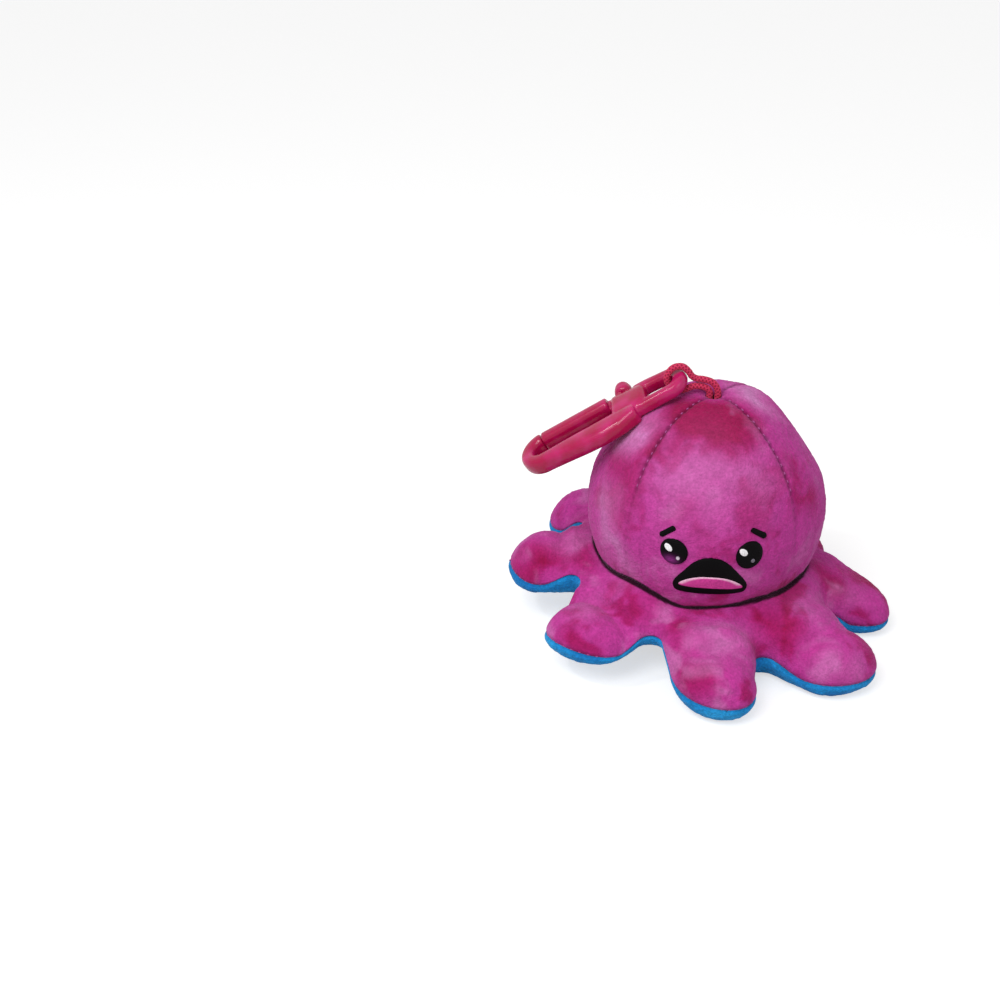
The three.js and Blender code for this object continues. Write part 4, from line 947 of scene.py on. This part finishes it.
# %% Stitches along the head's four seams
SEAM_STITCHES_FROM, SEAM_STITCHES_TO, STITCH_PROUD = math.radians(7), math.radians(64), 0.15
stitch_down = np.arange(STITCH / 2 / HEAD_HALF_HEIGHT, SEAM_STITCHES_TO, STITCH / HEAD_HALF_HEIGHT)
stitch_down = stitch_down[stitch_down > SEAM_STITCHES_FROM]
rows_down = np.linspace(crown_down, neck_down, HEAD_ROWS)
for quarter in range(PANELS):
    line = head_outer[:, HEAD_COLS * (2 * quarter + 1) // (2 * PANELS)]
    places, ahead = with_ways(stitch_down, rows_down, line, 0.01)
    outward = places - (0, 0, HEAD_CENTRE_Z)
    places = places + STITCH_PROUD * outward / np.linalg.norm(outward, axis=1, keepdims=True)
    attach(stitches("head_stitches_%d" % (quarter + 1), places, ahead, SEAM_STITCH, stitch_thread), "toy")
print("head stitches", len(places), "on each seam")

# %% [markdown]
# ## Cavity
#
# Turned the other way the toy shows its blue side. With the magenta side out, that plush lines a cavity for
# a fingertip. It is four panels again, so it has the same seams.

# %% Cavity lining
CAVITY_RADIUS, MOUTH_FLARE, MOUTH_LIP_Z = 24.0, 1.2, 2.8
CAVITY_COLS, CAVITY_ROWS = 220, 110
# LINING_SHADE is how strong the painted shade in the lining's seam grooves is
LINING_CREASE, LINING_CREASE_WIDTH, LINING_SHADE = 0.6, 0.7, 0.7


def cavity_point(around, t, outset):
    """A dome for t below a half, then a straight wall that flares by the fourth power of its fall."""
    down = np.pi * np.minimum(t, 0.5)
    fall = np.maximum(t - 0.5, 0) * 2
    radius = (CAVITY_RADIUS + outset) * np.sin(down) + MOUTH_FLARE * fall**4
    z = HEAD_CENTRE_Z + (CAVITY_RADIUS + outset) * np.cos(down) + (MOUTH_LIP_Z - HEAD_CENTRE_Z) * fall
    return np.stack([radius * np.cos(around), radius * np.sin(around), z + 0 * around], -1)


around = full_turn(CAVITY_COLS)
t = np.linspace(0, 1, CAVITY_ROWS)[:, None] ** 0.9
lining_grid = cavity_point(around, t, 0.0)
inward = -normals_of(lining_grid, wrap=True)
inward *= np.sign((inward * ((0, 0, HEAD_CENTRE_Z - 5) - lining_grid)).sum(-1, keepdims=True))
off = seam_distance(around, np.pi * np.minimum(t, 0.5), CAVITY_RADIUS)
groove = bell(off, LINING_CREASE_WIDTH) * smooth(t, 0.01, 0.06)
rise = (pile(lining_grid, 71) - LINING_CREASE * groove) * smooth(t, 0.0, 0.03)
lining_outer = lining_grid + rise[..., None] * inward
lining_inner = cavity_point(around, t, CLOTH)
marks = blotches_and_painted_light(lining_outer)
# the mark seam is painted shade in the lining's seam grooves
marks["seam"] = LINING_SHADE * groove
marks = {key: np.tile(np.broadcast_to(value, lining_outer.shape[:2]).ravel(), 2) for key, value in marks.items()}
both = np.concatenate([lining_outer.reshape(-1, 3), lining_inner.reshape(-1, 3)])
faces = shell_faces(CAVITY_ROWS, CAVITY_COLS, wrap=True)
lining = make_piece("cavity_plush", both, faces, plush, marks, weld=True)
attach(lining, "toy")
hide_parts(*["lining_panel_" + side for side in ("front", "right", "back", "left")])
print("lining", len(lining.data.polygons), "faces")

# %% [markdown]
# ## Embroidery
#
# The face is satin stitch: threads laid side by side over a shape until they stand out as a smooth pad. A
# flat black shape would look printed. Each pad is a grid of rings from its middle to its outline, laid on
# the head, raised to a rounded edge and ribbed by the threads. Real threads are 0.3 mm apart, which is less
# than a pixel here, so they are drawn twice as wide.

# %% Pads of satin stitch on a curved surface
THREAD_SPACING, THREAD_RIDGE = 0.6, 0.05
PAD_HEIGHT, PAD_SUNK = 0.75, 0.6
PAD_RINGS, PAD_SIDES = 36, 128
LINE_STEP, LINE_SIDES, TRACE_STEP = 0.12, 24, 0.05


def on_head(angle):
    """Puts a flat place, in mm across and up from the middle of the front panel, onto the head."""
    def lay(across, up, inset):
        under = math.radians(angle) - up / HEAD_HALF_HEIGHT
        return head_point(FRONT + across / (HEAD_RADIUS * np.sin(under)), under, inset)
    return lay


def in_cavity(angle):
    """The same on the cavity's front: the dome above the middle, the wall below it."""
    def lay(across, up, inset):
        under = math.radians(angle) - up / CAVITY_RADIUS
        out = CAVITY_RADIUS + inset
        level = np.minimum(under, np.pi / 2)
        turned = FRONT + across / (CAVITY_RADIUS * np.sin(level))
        fall = np.maximum(under - np.pi / 2, 0) * CAVITY_RADIUS
        flat = out * np.sin(level)
        return np.stack([flat * np.cos(turned), flat * np.sin(turned),
                         HEAD_CENTRE_Z + out * np.cos(level) - fall], -1)
    return lay


def ellipse(half_width, half_height, tilt=0.0):
    """Cosine and sine times the two half sizes, turned by the tilt."""
    def outline(turn):
        x, y = half_width * np.cos(turn), half_height * np.sin(turn)
        return x * math.cos(tilt) - y * math.sin(tilt), x * math.sin(tilt) + y * math.cos(tilt)
    return outline


def traced(right_half, lean=0.0, slope=0.0):
    """An outline through places on its right half, from its top to its bottom, and their mirror image: even
    places along the curve through them, leaning to the left going up and sloping to the right."""
    half = np.array(right_half, float)
    loop = np.concatenate([half, half[-2:0:-1] * (-1, 1), half[:1]])
    x, y = along_curve(loop, TRACE_STEP)[0].T
    places = np.stack([x - lean * (y - half[-1, 1]), y + slope * x], -1)

    def outline(turn):
        at = turn / (2 * np.pi) * (len(places) - 1)
        return tuple(np.interp(at, np.arange(len(places)), places[:, k]) for k in (0, 1))
    return outline


def pad(name, lay, middle, outline, material, node=None, base=0.0, height=PAD_HEIGHT, lean=0.0,
        ridge=THREAD_RIDGE, shape=None, mark=None):
    """A raised pad: rings out to the outline, round its edge and back underneath. The height over the cloth
    is the root of 1 less the share to the sixth, so the pad is level and its rim is round."""
    share = np.sin(np.linspace(0, 1, PAD_RINGS) * np.pi / 2)[:, None]
    turn = full_turn(PAD_SIDES)
    dx, dy = outline(turn)
    x, y = share * dx, share * dy
    thread_place = x * math.cos(lean) + y * math.sin(lean)
    ribs = ridge * np.cos(2 * np.pi * thread_place / THREAD_SPACING)
    top = base + height * np.sqrt(1 - share**6) + ribs * (1 - share**8)
    if shape is not None:
        top = top + shape(share, turn)
    upper = lay(middle[0] + x, middle[1] + y, -top)
    lower = lay(middle[0] + x, middle[1] + y, PAD_SUNK - base + 0 * x)[::-1]
    values = mark(x, y, share) if mark is not None else 0 * x
    values = np.concatenate([values, values[::-1]])
    made = make_piece(name, np.concatenate([upper, lower]), grid_faces(2 * PAD_RINGS, PAD_SIDES, wrap=True),
                      material, {"pale": values, "dark": values}, weld=True)
    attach(made, "toy")
    if node:
        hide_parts(node)


def line_of_stitches(name, lay, line, widths, material, node, height=0.7):
    """A narrow band of stitches along a line, from one width to another: an oval section carried along it,
    drawn in at both ends."""
    places, far = along_curve(np.array(line, float), LINE_STEP)
    ahead = unit(np.gradient(places, axis=0))
    turn = full_turn(LINE_SIDES)
    half = (np.linspace(*widths, len(far)) / 2 * np.sqrt(1 - np.abs(2 * far / far[-1] - 1) ** 12))[:, None]
    x = places[:, :1] - ahead[:, 1:] * half * np.cos(turn)
    y = places[:, 1:] + ahead[:, :1] * half * np.cos(turn)
    ribs = THREAD_RIDGE * np.cos(2 * np.pi * far / THREAD_SPACING)[:, None]
    rise = np.where(np.sin(turn) > 0, (height + ribs) * np.sin(turn), PAD_SUNK * np.sin(turn)) * (half > 0)
    made = make_piece(name, lay(x, y, -rise), grid_faces(len(places), LINE_SIDES, wrap=True), material, weld=True)
    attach(made, "toy")
    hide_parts(node)


# %% Sad face on the head
EYE_ANGLE, BROW_ANGLE, MOUTH_ANGLE = 86.5, 77, 105
# for each eye: its middle, its half sizes and tilt, then the middles of its glint and its spark, and how grey
# the spark is
EYES = {"left": ((-11.8, 0.0), (4.35, 4.15, -0.2), (-13.3, 1.3), (-10.2, -1.5), 0.3),
        "right": ((11.2, -0.3), (4.3, 4.5, -0.15), (8.9, 1.2), (12.0, -1.9), 1.0)}
GLINT_HALF_LONG, GLINT_HALF_WIDE, GLINT_TILT, SPARK_RADIUS = 1.4, 0.95, -0.7, 0.62
# for each brow: its middle, its length, how much its inner end is higher, and its width at both ends
BROWS = {"left": ((-14.0, -0.4), 4.7, 3.5, (1.7, 1.7)), "right": ((13.6, 0.0), 5.0, 3.0, (1.95, 1.5))}
MOUTH_MIDDLE, TONGUE_MIDDLE, MOUTH_LEAN = 3.5, 3.5, 0.04
MOUTH = [(0, 8.3), (2.9, 7.7), (5.6, 5.9), (7.9, 3.2), (10.2, 0.2), (11.35, -2.4), (10.6, -4.7), (8.2, -5.2),
         (4.2, -5.25), (0, -5.2)]
TONGUE = [(0, 2.1), (3, 1.9), (6, 0.95), (8.3, -0.45), (9.5, -1.75), (9.0, -2.2), (6, -2.3), (3, -2.15), (0, -2.1)]
TONGUE_SLOPE = -0.03


def violet_shine(x, y, share):
    """A painted violet reflection on the left eye's threads, low on its left: a bell in each direction."""
    return np.exp(-(((x + 0.7) / 2.1) ** 2) - ((y + 2.5) / 1.3) ** 2)


def pale_rim(x, y, share):
    """A painted highlight: the tongue's pale rim, along its upper edge."""
    return smooth(share, 0.76, 0.96) * smooth(y + 0.16 * np.abs(x), -0.2, 0.6)


def greyed(level):
    """Grey all over by a level, and darker at the rim."""
    return lambda x, y, share: np.maximum(level, 0.9 * smooth(share, 0.3, 1.0)) + 0 * x


eyes, brows, mouth_lay = on_head(EYE_ANGLE), on_head(BROW_ANGLE), on_head(MOUTH_ANGLE)
for side, word in ((-1, "left"), (1, "right")):
    (across, up), length, rise, widths = BROWS[word]
    brow = [(across - side * t * length, up + t * rise) for t in (-0.5, -0.2, 0.2, 0.5)]
    line_of_stitches("brow_stitches_" + word, brows, brow, widths, black_thread, "eyebrow_" + word)
    middle, half_sizes, glint, spark, grey = EYES[word]
    pad("eye_stitches_" + word, eyes, middle, ellipse(*half_sizes), black_thread, "eye_" + word,
        lean=math.pi / 2, mark=violet_shine if side < 0 else None)
    pad("glint_stitches_" + word, eyes, glint, ellipse(GLINT_HALF_LONG, GLINT_HALF_WIDE, GLINT_TILT),
        white_thread, "eye_glint_" + word, base=PAD_HEIGHT, height=0.3)
    pad("spark_stitches_" + word, eyes, spark, ellipse(SPARK_RADIUS, SPARK_RADIUS), spark_thread,
        base=PAD_HEIGHT, height=0.25, mark=greyed(grey))

pad("mouth_stitches", mouth_lay, (0, MOUTH_MIDDLE), traced(MOUTH, MOUTH_LEAN), black_thread,
    "mouth")
pad("tongue_stitches", mouth_lay, (0, TONGUE_MIDDLE), traced(TONGUE, 0.0, TONGUE_SLOPE), pink_thread,
    "tongue", base=PAD_HEIGHT, height=0.4, mark=pale_rim)
print("sad face made")

# %% Happy face in the cavity
WINK_ANGLE, WINK_SPREAD, WINK_LENGTH, WINK_OPENING, WINK_WIDTH = 92, 9.5, 5.0, 2.4, 1.2
SMILE_ANGLE, SMILE_HALF_WIDTH, SMILE_SAG = 103, 4.0, 2.6
CHEEK_ANGLE, CHEEK_SPREAD, CHEEK_HALF_WIDTH, CHEEK_HALF_HEIGHT = 103, 11.5, 2.4, 0.9
WINK_WIDTHS = (WINK_WIDTH, WINK_WIDTH)

winks, smile_lay, cheeks = in_cavity(WINK_ANGLE), in_cavity(SMILE_ANGLE), in_cavity(CHEEK_ANGLE)
for side, word in ((-1, "left"), (1, "right")):
    tip, end = side * (WINK_SPREAD - WINK_LENGTH / 2), side * (WINK_SPREAD + WINK_LENGTH / 2)
    wink = [(mix(end, tip, t), up * WINK_OPENING)
            for t, up in ((0, 1), (0.75, 0.3), (1, 0), (0.75, -0.3), (0, -1))]
    line_of_stitches("wink_stitches_" + word, winks, wink, WINK_WIDTHS, black_thread,
                     "wink_" + word)
    pad("cheek_stitches_" + word, cheeks, (side * CHEEK_SPREAD, 0), ellipse(CHEEK_HALF_WIDTH, CHEEK_HALF_HEIGHT),
        pink_thread, "cheek_" + word)
smile = [(t * SMILE_HALF_WIDTH, SMILE_SAG * (t * t - 1)) for t in np.linspace(-1, 1, 7)]
line_of_stitches("smile_stitches", smile_lay, smile, WINK_WIDTHS, black_thread, "smile")
print("happy face made")

# %% [markdown]
# ## Headband and flower
#
# The blue side wears a felt headband with a flower, so they lie inside the cavity's dome. Felt is cut with
# scissors and keeps its thickness, with slightly rounded edges. The flower's petals are pressed in lines
# from its middle, and its yellow disc has a few stitched creases.

# %% Felt pieces
BAND_ANGLE, BAND_WIDTH, FELT = 50, 7.5, 0.8
BAND_INSET, FELT_ROUGH, FELT_FIBRE = -0.75, 0.08, 0.8
FLOWER_HALF_WIDTH, FLOWER_HALF_HEIGHT, FLOWER_PETALS, FLOWER_SCALLOP = 10.5, 9.0, 8, 0.9
DISC_HALF_WIDTH, DISC_HALF_HEIGHT = 7.0, 5.8
BAND_SIDES, BAND_SECTION = 180, 41

ring = full_turn(BAND_SIDES)
section = np.linspace(0, 2 * np.pi, BAND_SECTION)[:, None]
band_down = math.radians(BAND_ANGLE) + BAND_WIDTH / 2 / CAVITY_RADIUS * powered(np.cos(section), 0.35)
band_out = CAVITY_RADIUS + BAND_INSET + FELT / 2 * powered(np.sin(section), 0.6) + 0 * ring
band_grid = np.stack([band_out * np.sin(band_down) * np.cos(ring), band_out * np.sin(band_down) * np.sin(ring),
                      HEAD_CENTRE_Z + band_out * np.cos(band_down)], -1)
band_grid += FELT_ROUGH * noise(band_grid, FELT_FIBRE, 90)[..., None]
band_grid[-1] = band_grid[0]
faces = grid_faces(BAND_SECTION, BAND_SIDES, wrap=True)
band = make_piece("headband_felt", band_grid, faces, band_felt, weld=True)
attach(band, "toy")
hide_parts("headband")


def scalloped(turn):
    """An oval whose edge waves once for each petal."""
    wave = 1 + FLOWER_SCALLOP / FLOWER_HALF_WIDTH * np.cos(FLOWER_PETALS * turn)
    return FLOWER_HALF_WIDTH * wave * np.cos(turn), FLOWER_HALF_HEIGHT * wave * np.sin(turn)


def petal_swell(share, turn):
    """The petals stand out, least at the middle and the edge."""
    return 0.35 * share * (1 - share**4) * np.cos(FLOWER_PETALS * turn)


def petal_shade(x, y, share):
    """Painted shade in the pressed lines between the petals."""
    return 0.7 * smooth(np.cos(FLOWER_PETALS * np.arctan2(y, x)), -0.5, -1.0) * smooth(share, 0.2, 0.7)


def disc_creases(x, y, share):
    """The disc's stitched creases: the lower part of a ring, and a short upright line."""
    arch = bell(np.abs(np.hypot(x, y + 0.6) - 3.2), 0.35) * smooth(y, 2.2, -0.5)
    return 0.8 * arch + 0.6 * bell(x - 0.5, 0.35) * smooth(np.abs(y), 2.0, 1.0)


flower_lay = in_cavity(BAND_ANGLE)
pad("flower_felt", flower_lay, (0, 0), scalloped, flower_felt, "flower_patch", base=1.7,
    height=FELT, ridge=0.0, shape=petal_swell, mark=petal_shade)
pad("disc_felt", flower_lay, (0, 0), ellipse(DISC_HALF_WIDTH, DISC_HALF_HEIGHT), disc_felt,
    "flower_disc", base=2.8, height=FELT, ridge=0.0, mark=disc_creases)
print("felt made")

# %% [markdown]
# ## Clip
#
# The clip is moulded in two parts: a hook with an eye for the cord, and a gate that swings inwards on a pin.
# Moulded plastic has no sharp joins, so its bars are made as rounded sections carried along paths, melted
# together in one closed surface by a voxel remesh, and smoothed like a polished mould. The slot that takes the
# gate's hub is cut last.

# %% Bars of rounded section in the clip's own plane
CLIP_ORIGIN = np.array([-22.606, 0.0, 75.41])
CLIP_ALONG = np.array([-0.838671, 0.0, -0.544639])
CLIP_ACROSS = np.array([-0.0852, 0.987688, 0.131197])
CLIP_OUT = np.array([-0.537934, -0.156434, 0.828345])
CLIP_HALF_THICK, CLIP_RAIL, CLIP_BAR, CLIP_HALF_WIDTH = 3.0, 5.6, 3.5, 8.3
CLAW_END, EYE_OUT, EYE_IN, EYE_HALF = 33.7, -16.25, 1.75, 6.0
PIVOT = (5.2, 5.2)
EYE_HALF_THICK, NOSE_ANGLE = 2.2, math.radians(90)
VOXEL, POLISH, POLISH_ROUNDS, SHARP_FROM = 0.24, 0.5, 16, math.radians(40)
BAR_STEP, BAR_SIDES = 0.25, 40


def clip_place(s, y, n):
    """A place in the clip's plane, s along it, y across and n out of it, in the toy's frame."""
    return CLIP_ORIGIN + s[..., None] * CLIP_ALONG + y[..., None] * CLIP_ACROSS + n[..., None] * CLIP_OUT


def bar(points, half_width, half_thick, square=2.8, edge=None):
    """A closed bar: a superellipse, cosine and sine to the power 2 / square, carried along a path. Its ends
    are drawn in along a quarter circle, as wide as the bar or only as its edge, and closed."""
    points, far = along_curve(np.array(points, float), BAR_STEP)
    ahead = unit(np.gradient(points, axis=0))
    turn = full_turn(BAR_SIDES)
    c, s = powered(np.cos(turn), 2 / square), powered(np.sin(turn), 2 / square)
    half = np.interp(far / far[-1], np.linspace(0, 1, np.size(half_width)), np.atleast_1d(half_width))[:, None]
    edge = half if edge is None else edge
    drawn = 1 - np.sqrt(1 - (1 - np.clip(np.minimum(far, far[-1] - far)[:, None] / edge, 0, 1)) ** 2)
    y, n = (half - drawn * edge) * c, half_thick * (1 - drawn * np.minimum(edge / half_thick, 1)) * s
    middles = [clip_place(points[[k], :1], points[[k], 1:], np.zeros((1, turn.size))) for k in (0, -1)]
    sides = clip_place(points[:, :1] - ahead[:, 1:] * y, points[:, 1:] + ahead[:, :1] * y, n)
    return np.concatenate([middles[0], sides, middles[1]])


def arc(middle, radius, start, stop, count=14):
    """Places along an arc, angles in radians."""
    angles = np.linspace(start, stop, count)
    return [(middle[0] + radius * math.cos(a), middle[1] + radius * math.sin(a)) for a in angles]


def moulded(name, bars, body, nodes, carve=None):
    """Melts closed bars into one surface, cuts what carve names out of it and smooths it."""
    count = [len(b) * b.shape[1] for b in bars]
    starts = np.concatenate([[0], np.cumsum(count)[:-1]])
    faces = []
    for grid, start in zip(bars, starts):
        faces.append(faced_out(grid.reshape(-1, 3), grid_faces(len(grid), grid.shape[1], wrap=True)) + start)
    rough = make_piece(name + "_rough", np.concatenate([b.reshape(-1, 3) for b in bars]), np.concatenate(faces),
                       plastic, weld=True)
    melt = rough.modifiers.new("melt", "REMESH")
    melt.mode, melt.voxel_size, melt.use_smooth_shade = "VOXEL", VOXEL * MM, True
    polish = rough.modifiers.new("polish", "SMOOTH")
    polish.factor, polish.iterations = POLISH, POLISH_ROUNDS
    if carve is not None:
        cutter = make_piece(name + "_cutter", carve, np.array([
            [0, 1, 3, 2], [4, 6, 7, 5], [0, 4, 5, 1], [2, 3, 7, 6], [0, 2, 6, 4], [1, 5, 7, 3]]), plastic)
        slot_cut = rough.modifiers.new("slot", "BOOLEAN")
        slot_cut.object, slot_cut.operation, slot_cut.solver = cutter, "DIFFERENCE", "EXACT"
    graph = bpy.context.evaluated_depsgraph_get()
    mesh = bpy.data.meshes.new_from_object(rough.evaluated_get(graph))
    mesh.name = name
    mesh.materials.clear()
    mesh.materials.append(plastic)
    made = placed(name, mesh)
    bpy.data.objects.remove(rough)
    if carve is not None:
        bpy.data.objects.remove(cutter)
        mesh.set_sharp_from_angle(angle=SHARP_FROM)
    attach(made, body)
    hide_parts(*nodes)
    return made


# %% Hook, eye, collar and gate
rail_y = CLIP_HALF_WIDTH - CLIP_RAIL / 2
claw = [(1.0, -5.6), (8.0, -6.1), (16.0, -6.3), (25.0, -5.85)]
claw += arc((CLAW_END, 0), rail_y, -math.pi / 2, NOSE_ANGLE)
eye_y = EYE_HALF - CLIP_BAR / 2
eye_middle = EYE_OUT + EYE_HALF
eye_bar = [(EYE_IN, -eye_y), (-4.0, -eye_y)] + arc((eye_middle, 0), eye_y, -math.pi / 2, -3 * math.pi / 2)
eye_bar += [(-4.0, eye_y + 0.7), (EYE_IN, eye_y + 0.7)]
eye_half_widths = [1.9, 1.9, 1.75, 1.9, 2.2, 2.0, 2.0, 2.2, 2.2]
collar = bar([(-3.4, 0), (1.5, 0), (5.0, 0), (9.0, 0)], [5.4, 6.2, 6.6, 7.6], CLIP_HALF_THICK, 2.8, 2.2)
slot_box = ((2.3, 22.2), (1.95, 18.5), (-1.25, 1.25))  # the slot for the gate: along, across and through
slot_corners = np.stack(np.meshgrid(*slot_box, indexing="ij"), -1).reshape(-1, 3)
hook = moulded("clip_hook", [
    bar(claw, [2.2, 4.1, 4.4, 4.1, 3.4, 2.6, 2.4, 2.4, 2.6], CLIP_HALF_THICK, edge=0.5),
    bar(eye_bar, eye_half_widths, EYE_HALF_THICK), collar,
], "clip", ["clip_body"], clip_place(*slot_corners.T))

GATE_HALF, GATE_Y, GATE_START, GATE_END = 2.6, 5.4, 9.7, 33.55
HUB_RADIUS, HUB_HALF = 2.9, 0.9
KNOB_ALONG, KNOB_FROM, KNOB_TO, KNOB_HALF = 4.4, 7.3, 12.4, 2.6
gate = moulded("clip_gate_arm", [
    bar([(GATE_START, GATE_Y), (20, GATE_Y), (GATE_END, GATE_Y)], GATE_HALF, CLIP_HALF_THICK, edge=0.5),
    bar([(PIVOT[0] - HUB_RADIUS, PIVOT[1]), PIVOT, (13.0, PIVOT[1] + 0.6)], [HUB_RADIUS, HUB_RADIUS, 2.0],
        HUB_HALF),
    bar([(KNOB_ALONG, PIVOT[1]), (KNOB_ALONG, KNOB_FROM), (KNOB_ALONG, KNOB_TO)], HUB_RADIUS, HUB_HALF),
    bar([(KNOB_ALONG, KNOB_FROM), (KNOB_ALONG, 9.6), (KNOB_ALONG, KNOB_TO)], [2.9, 2.8, 2.1], KNOB_HALF, 2.2, 1.5),
], "gate", ["clip_gate"])
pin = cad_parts["clip_pin"]
pin.data.materials.clear()
pin.data.materials.append(plastic)
print("clip", len(hook.data.polygons), "and", len(gate.data.polygons), "faces")

# %% [markdown]
# ## Floor and light
#
# The photograph has a white background and soft light from above the camera. A plain floor takes the toy's
# soft shadow. To a camera ray the floor and the world add enough white to look white, without any more
# light on the toy. A large lamp gives the main light, small ones the spots that gloss on the clip.

# %% Floor
FLOOR_SIZE, FLOOR_Z, FLOOR_GREY, FLOOR_GLOW = 4000.0, -0.2, 0.55, 0.62


def seen_directly(tree):
    """1 for a ray from the camera, off gloss or through a clear material, else 0."""
    path = add(tree, "ShaderNodeLightPath").outputs
    seen = path["Is Camera Ray"]
    for kind in ("Is Glossy Ray", "Is Transmission Ray"):
        seen = add(tree, "ShaderNodeMath", {0: seen, 1: path[kind]}, operation="MAXIMUM").outputs[0]
    return seen


corner = FLOOR_SIZE / 2
floor_mesh = bpy.data.meshes.new("floor")
floor_corners = [(x * corner * MM, y * corner * MM, FLOOR_Z * MM) for x, y in ((-1, -1), (1, -1), (1, 1), (-1, 1))]
floor_mesh.from_pydata(floor_corners, [], [(0, 1, 2, 3)])
floor = placed("floor", floor_mesh)
floor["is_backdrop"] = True
floor_material, tree, shader = blank("studio paper, white", Roughness=0.9, Specular_IOR_Level=0.1)
shader.inputs["Base Color"].default_value = (FLOOR_GREY, FLOOR_GREY, FLOOR_GREY, 1)
glow = add(tree, "ShaderNodeEmission", {"Color": (1, 1, 1, 1), "Strength": FLOOR_GLOW})
both_shaders = add(tree, "ShaderNodeAddShader", {0: shader.outputs[0], 1: glow.outputs[0]})
surface = {0: seen_directly(tree), 1: shader.outputs[0], 2: both_shaders.outputs[0]}
choice = add(tree, "ShaderNodeMixShader", surface)
tree.links.new(choice.outputs[0], tree.nodes["Material Output"].inputs["Surface"])
floor_mesh.materials.append(floor_material)

# %% World and lamps
WORLD_LEVEL = 0.5
world = bpy.data.worlds.new("studio")
bpy.context.scene.world = world
world.use_nodes = True
tree = world.node_tree
level = ranged(tree, seen_directly(tree), (0.0, 1.0), (WORLD_LEVEL, 1.0))
tree.links.new(level, tree.nodes["Background"].inputs["Strength"])
tree.nodes["Background"].inputs["Color"].default_value = (1, 1, 1, 1)


def lamp(name, place, target, size, power):
    """A square area lamp at a place in mm that looks at a target."""
    light = placed(name, bpy.data.lights.new(name, "AREA"))
    light.data.shape, light.data.size, light.data.energy = "SQUARE", size * MM, power
    away = np.array(place, float) - np.array(target, float)
    away /= np.linalg.norm(away)
    side = np.cross((0, 0, 1), away)
    side /= np.linalg.norm(side)
    turned = np.eye(4)
    turned[:3, :3] = np.stack([side, np.cross(away, side), away], 1)
    turned[:3, 3] = np.array(place) * MM
    light.matrix_world = Matrix(turned.tolist())


lamp("key softbox", (-260, -420, 620), (0, 0, 30), 380, 2.9)
lamp("fill softbox", (480, -380, 300), (0, 0, 30), 320, 0.5)
lamp("spot for gloss", (-330, -120, 420), (-35, 0, 70), 36, 0.4)
bpy.context.scene.view_settings.view_transform = "Standard"

# %% Sizes and the last line
visual_box = [[float(x) for x in corner_point] for corner_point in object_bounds()]
for kind, box in (("cad", cad_box), ("visual", visual_box)):
    print(kind, "box", np.round(np.array(box) / MM, 1).tolist(), "mm")
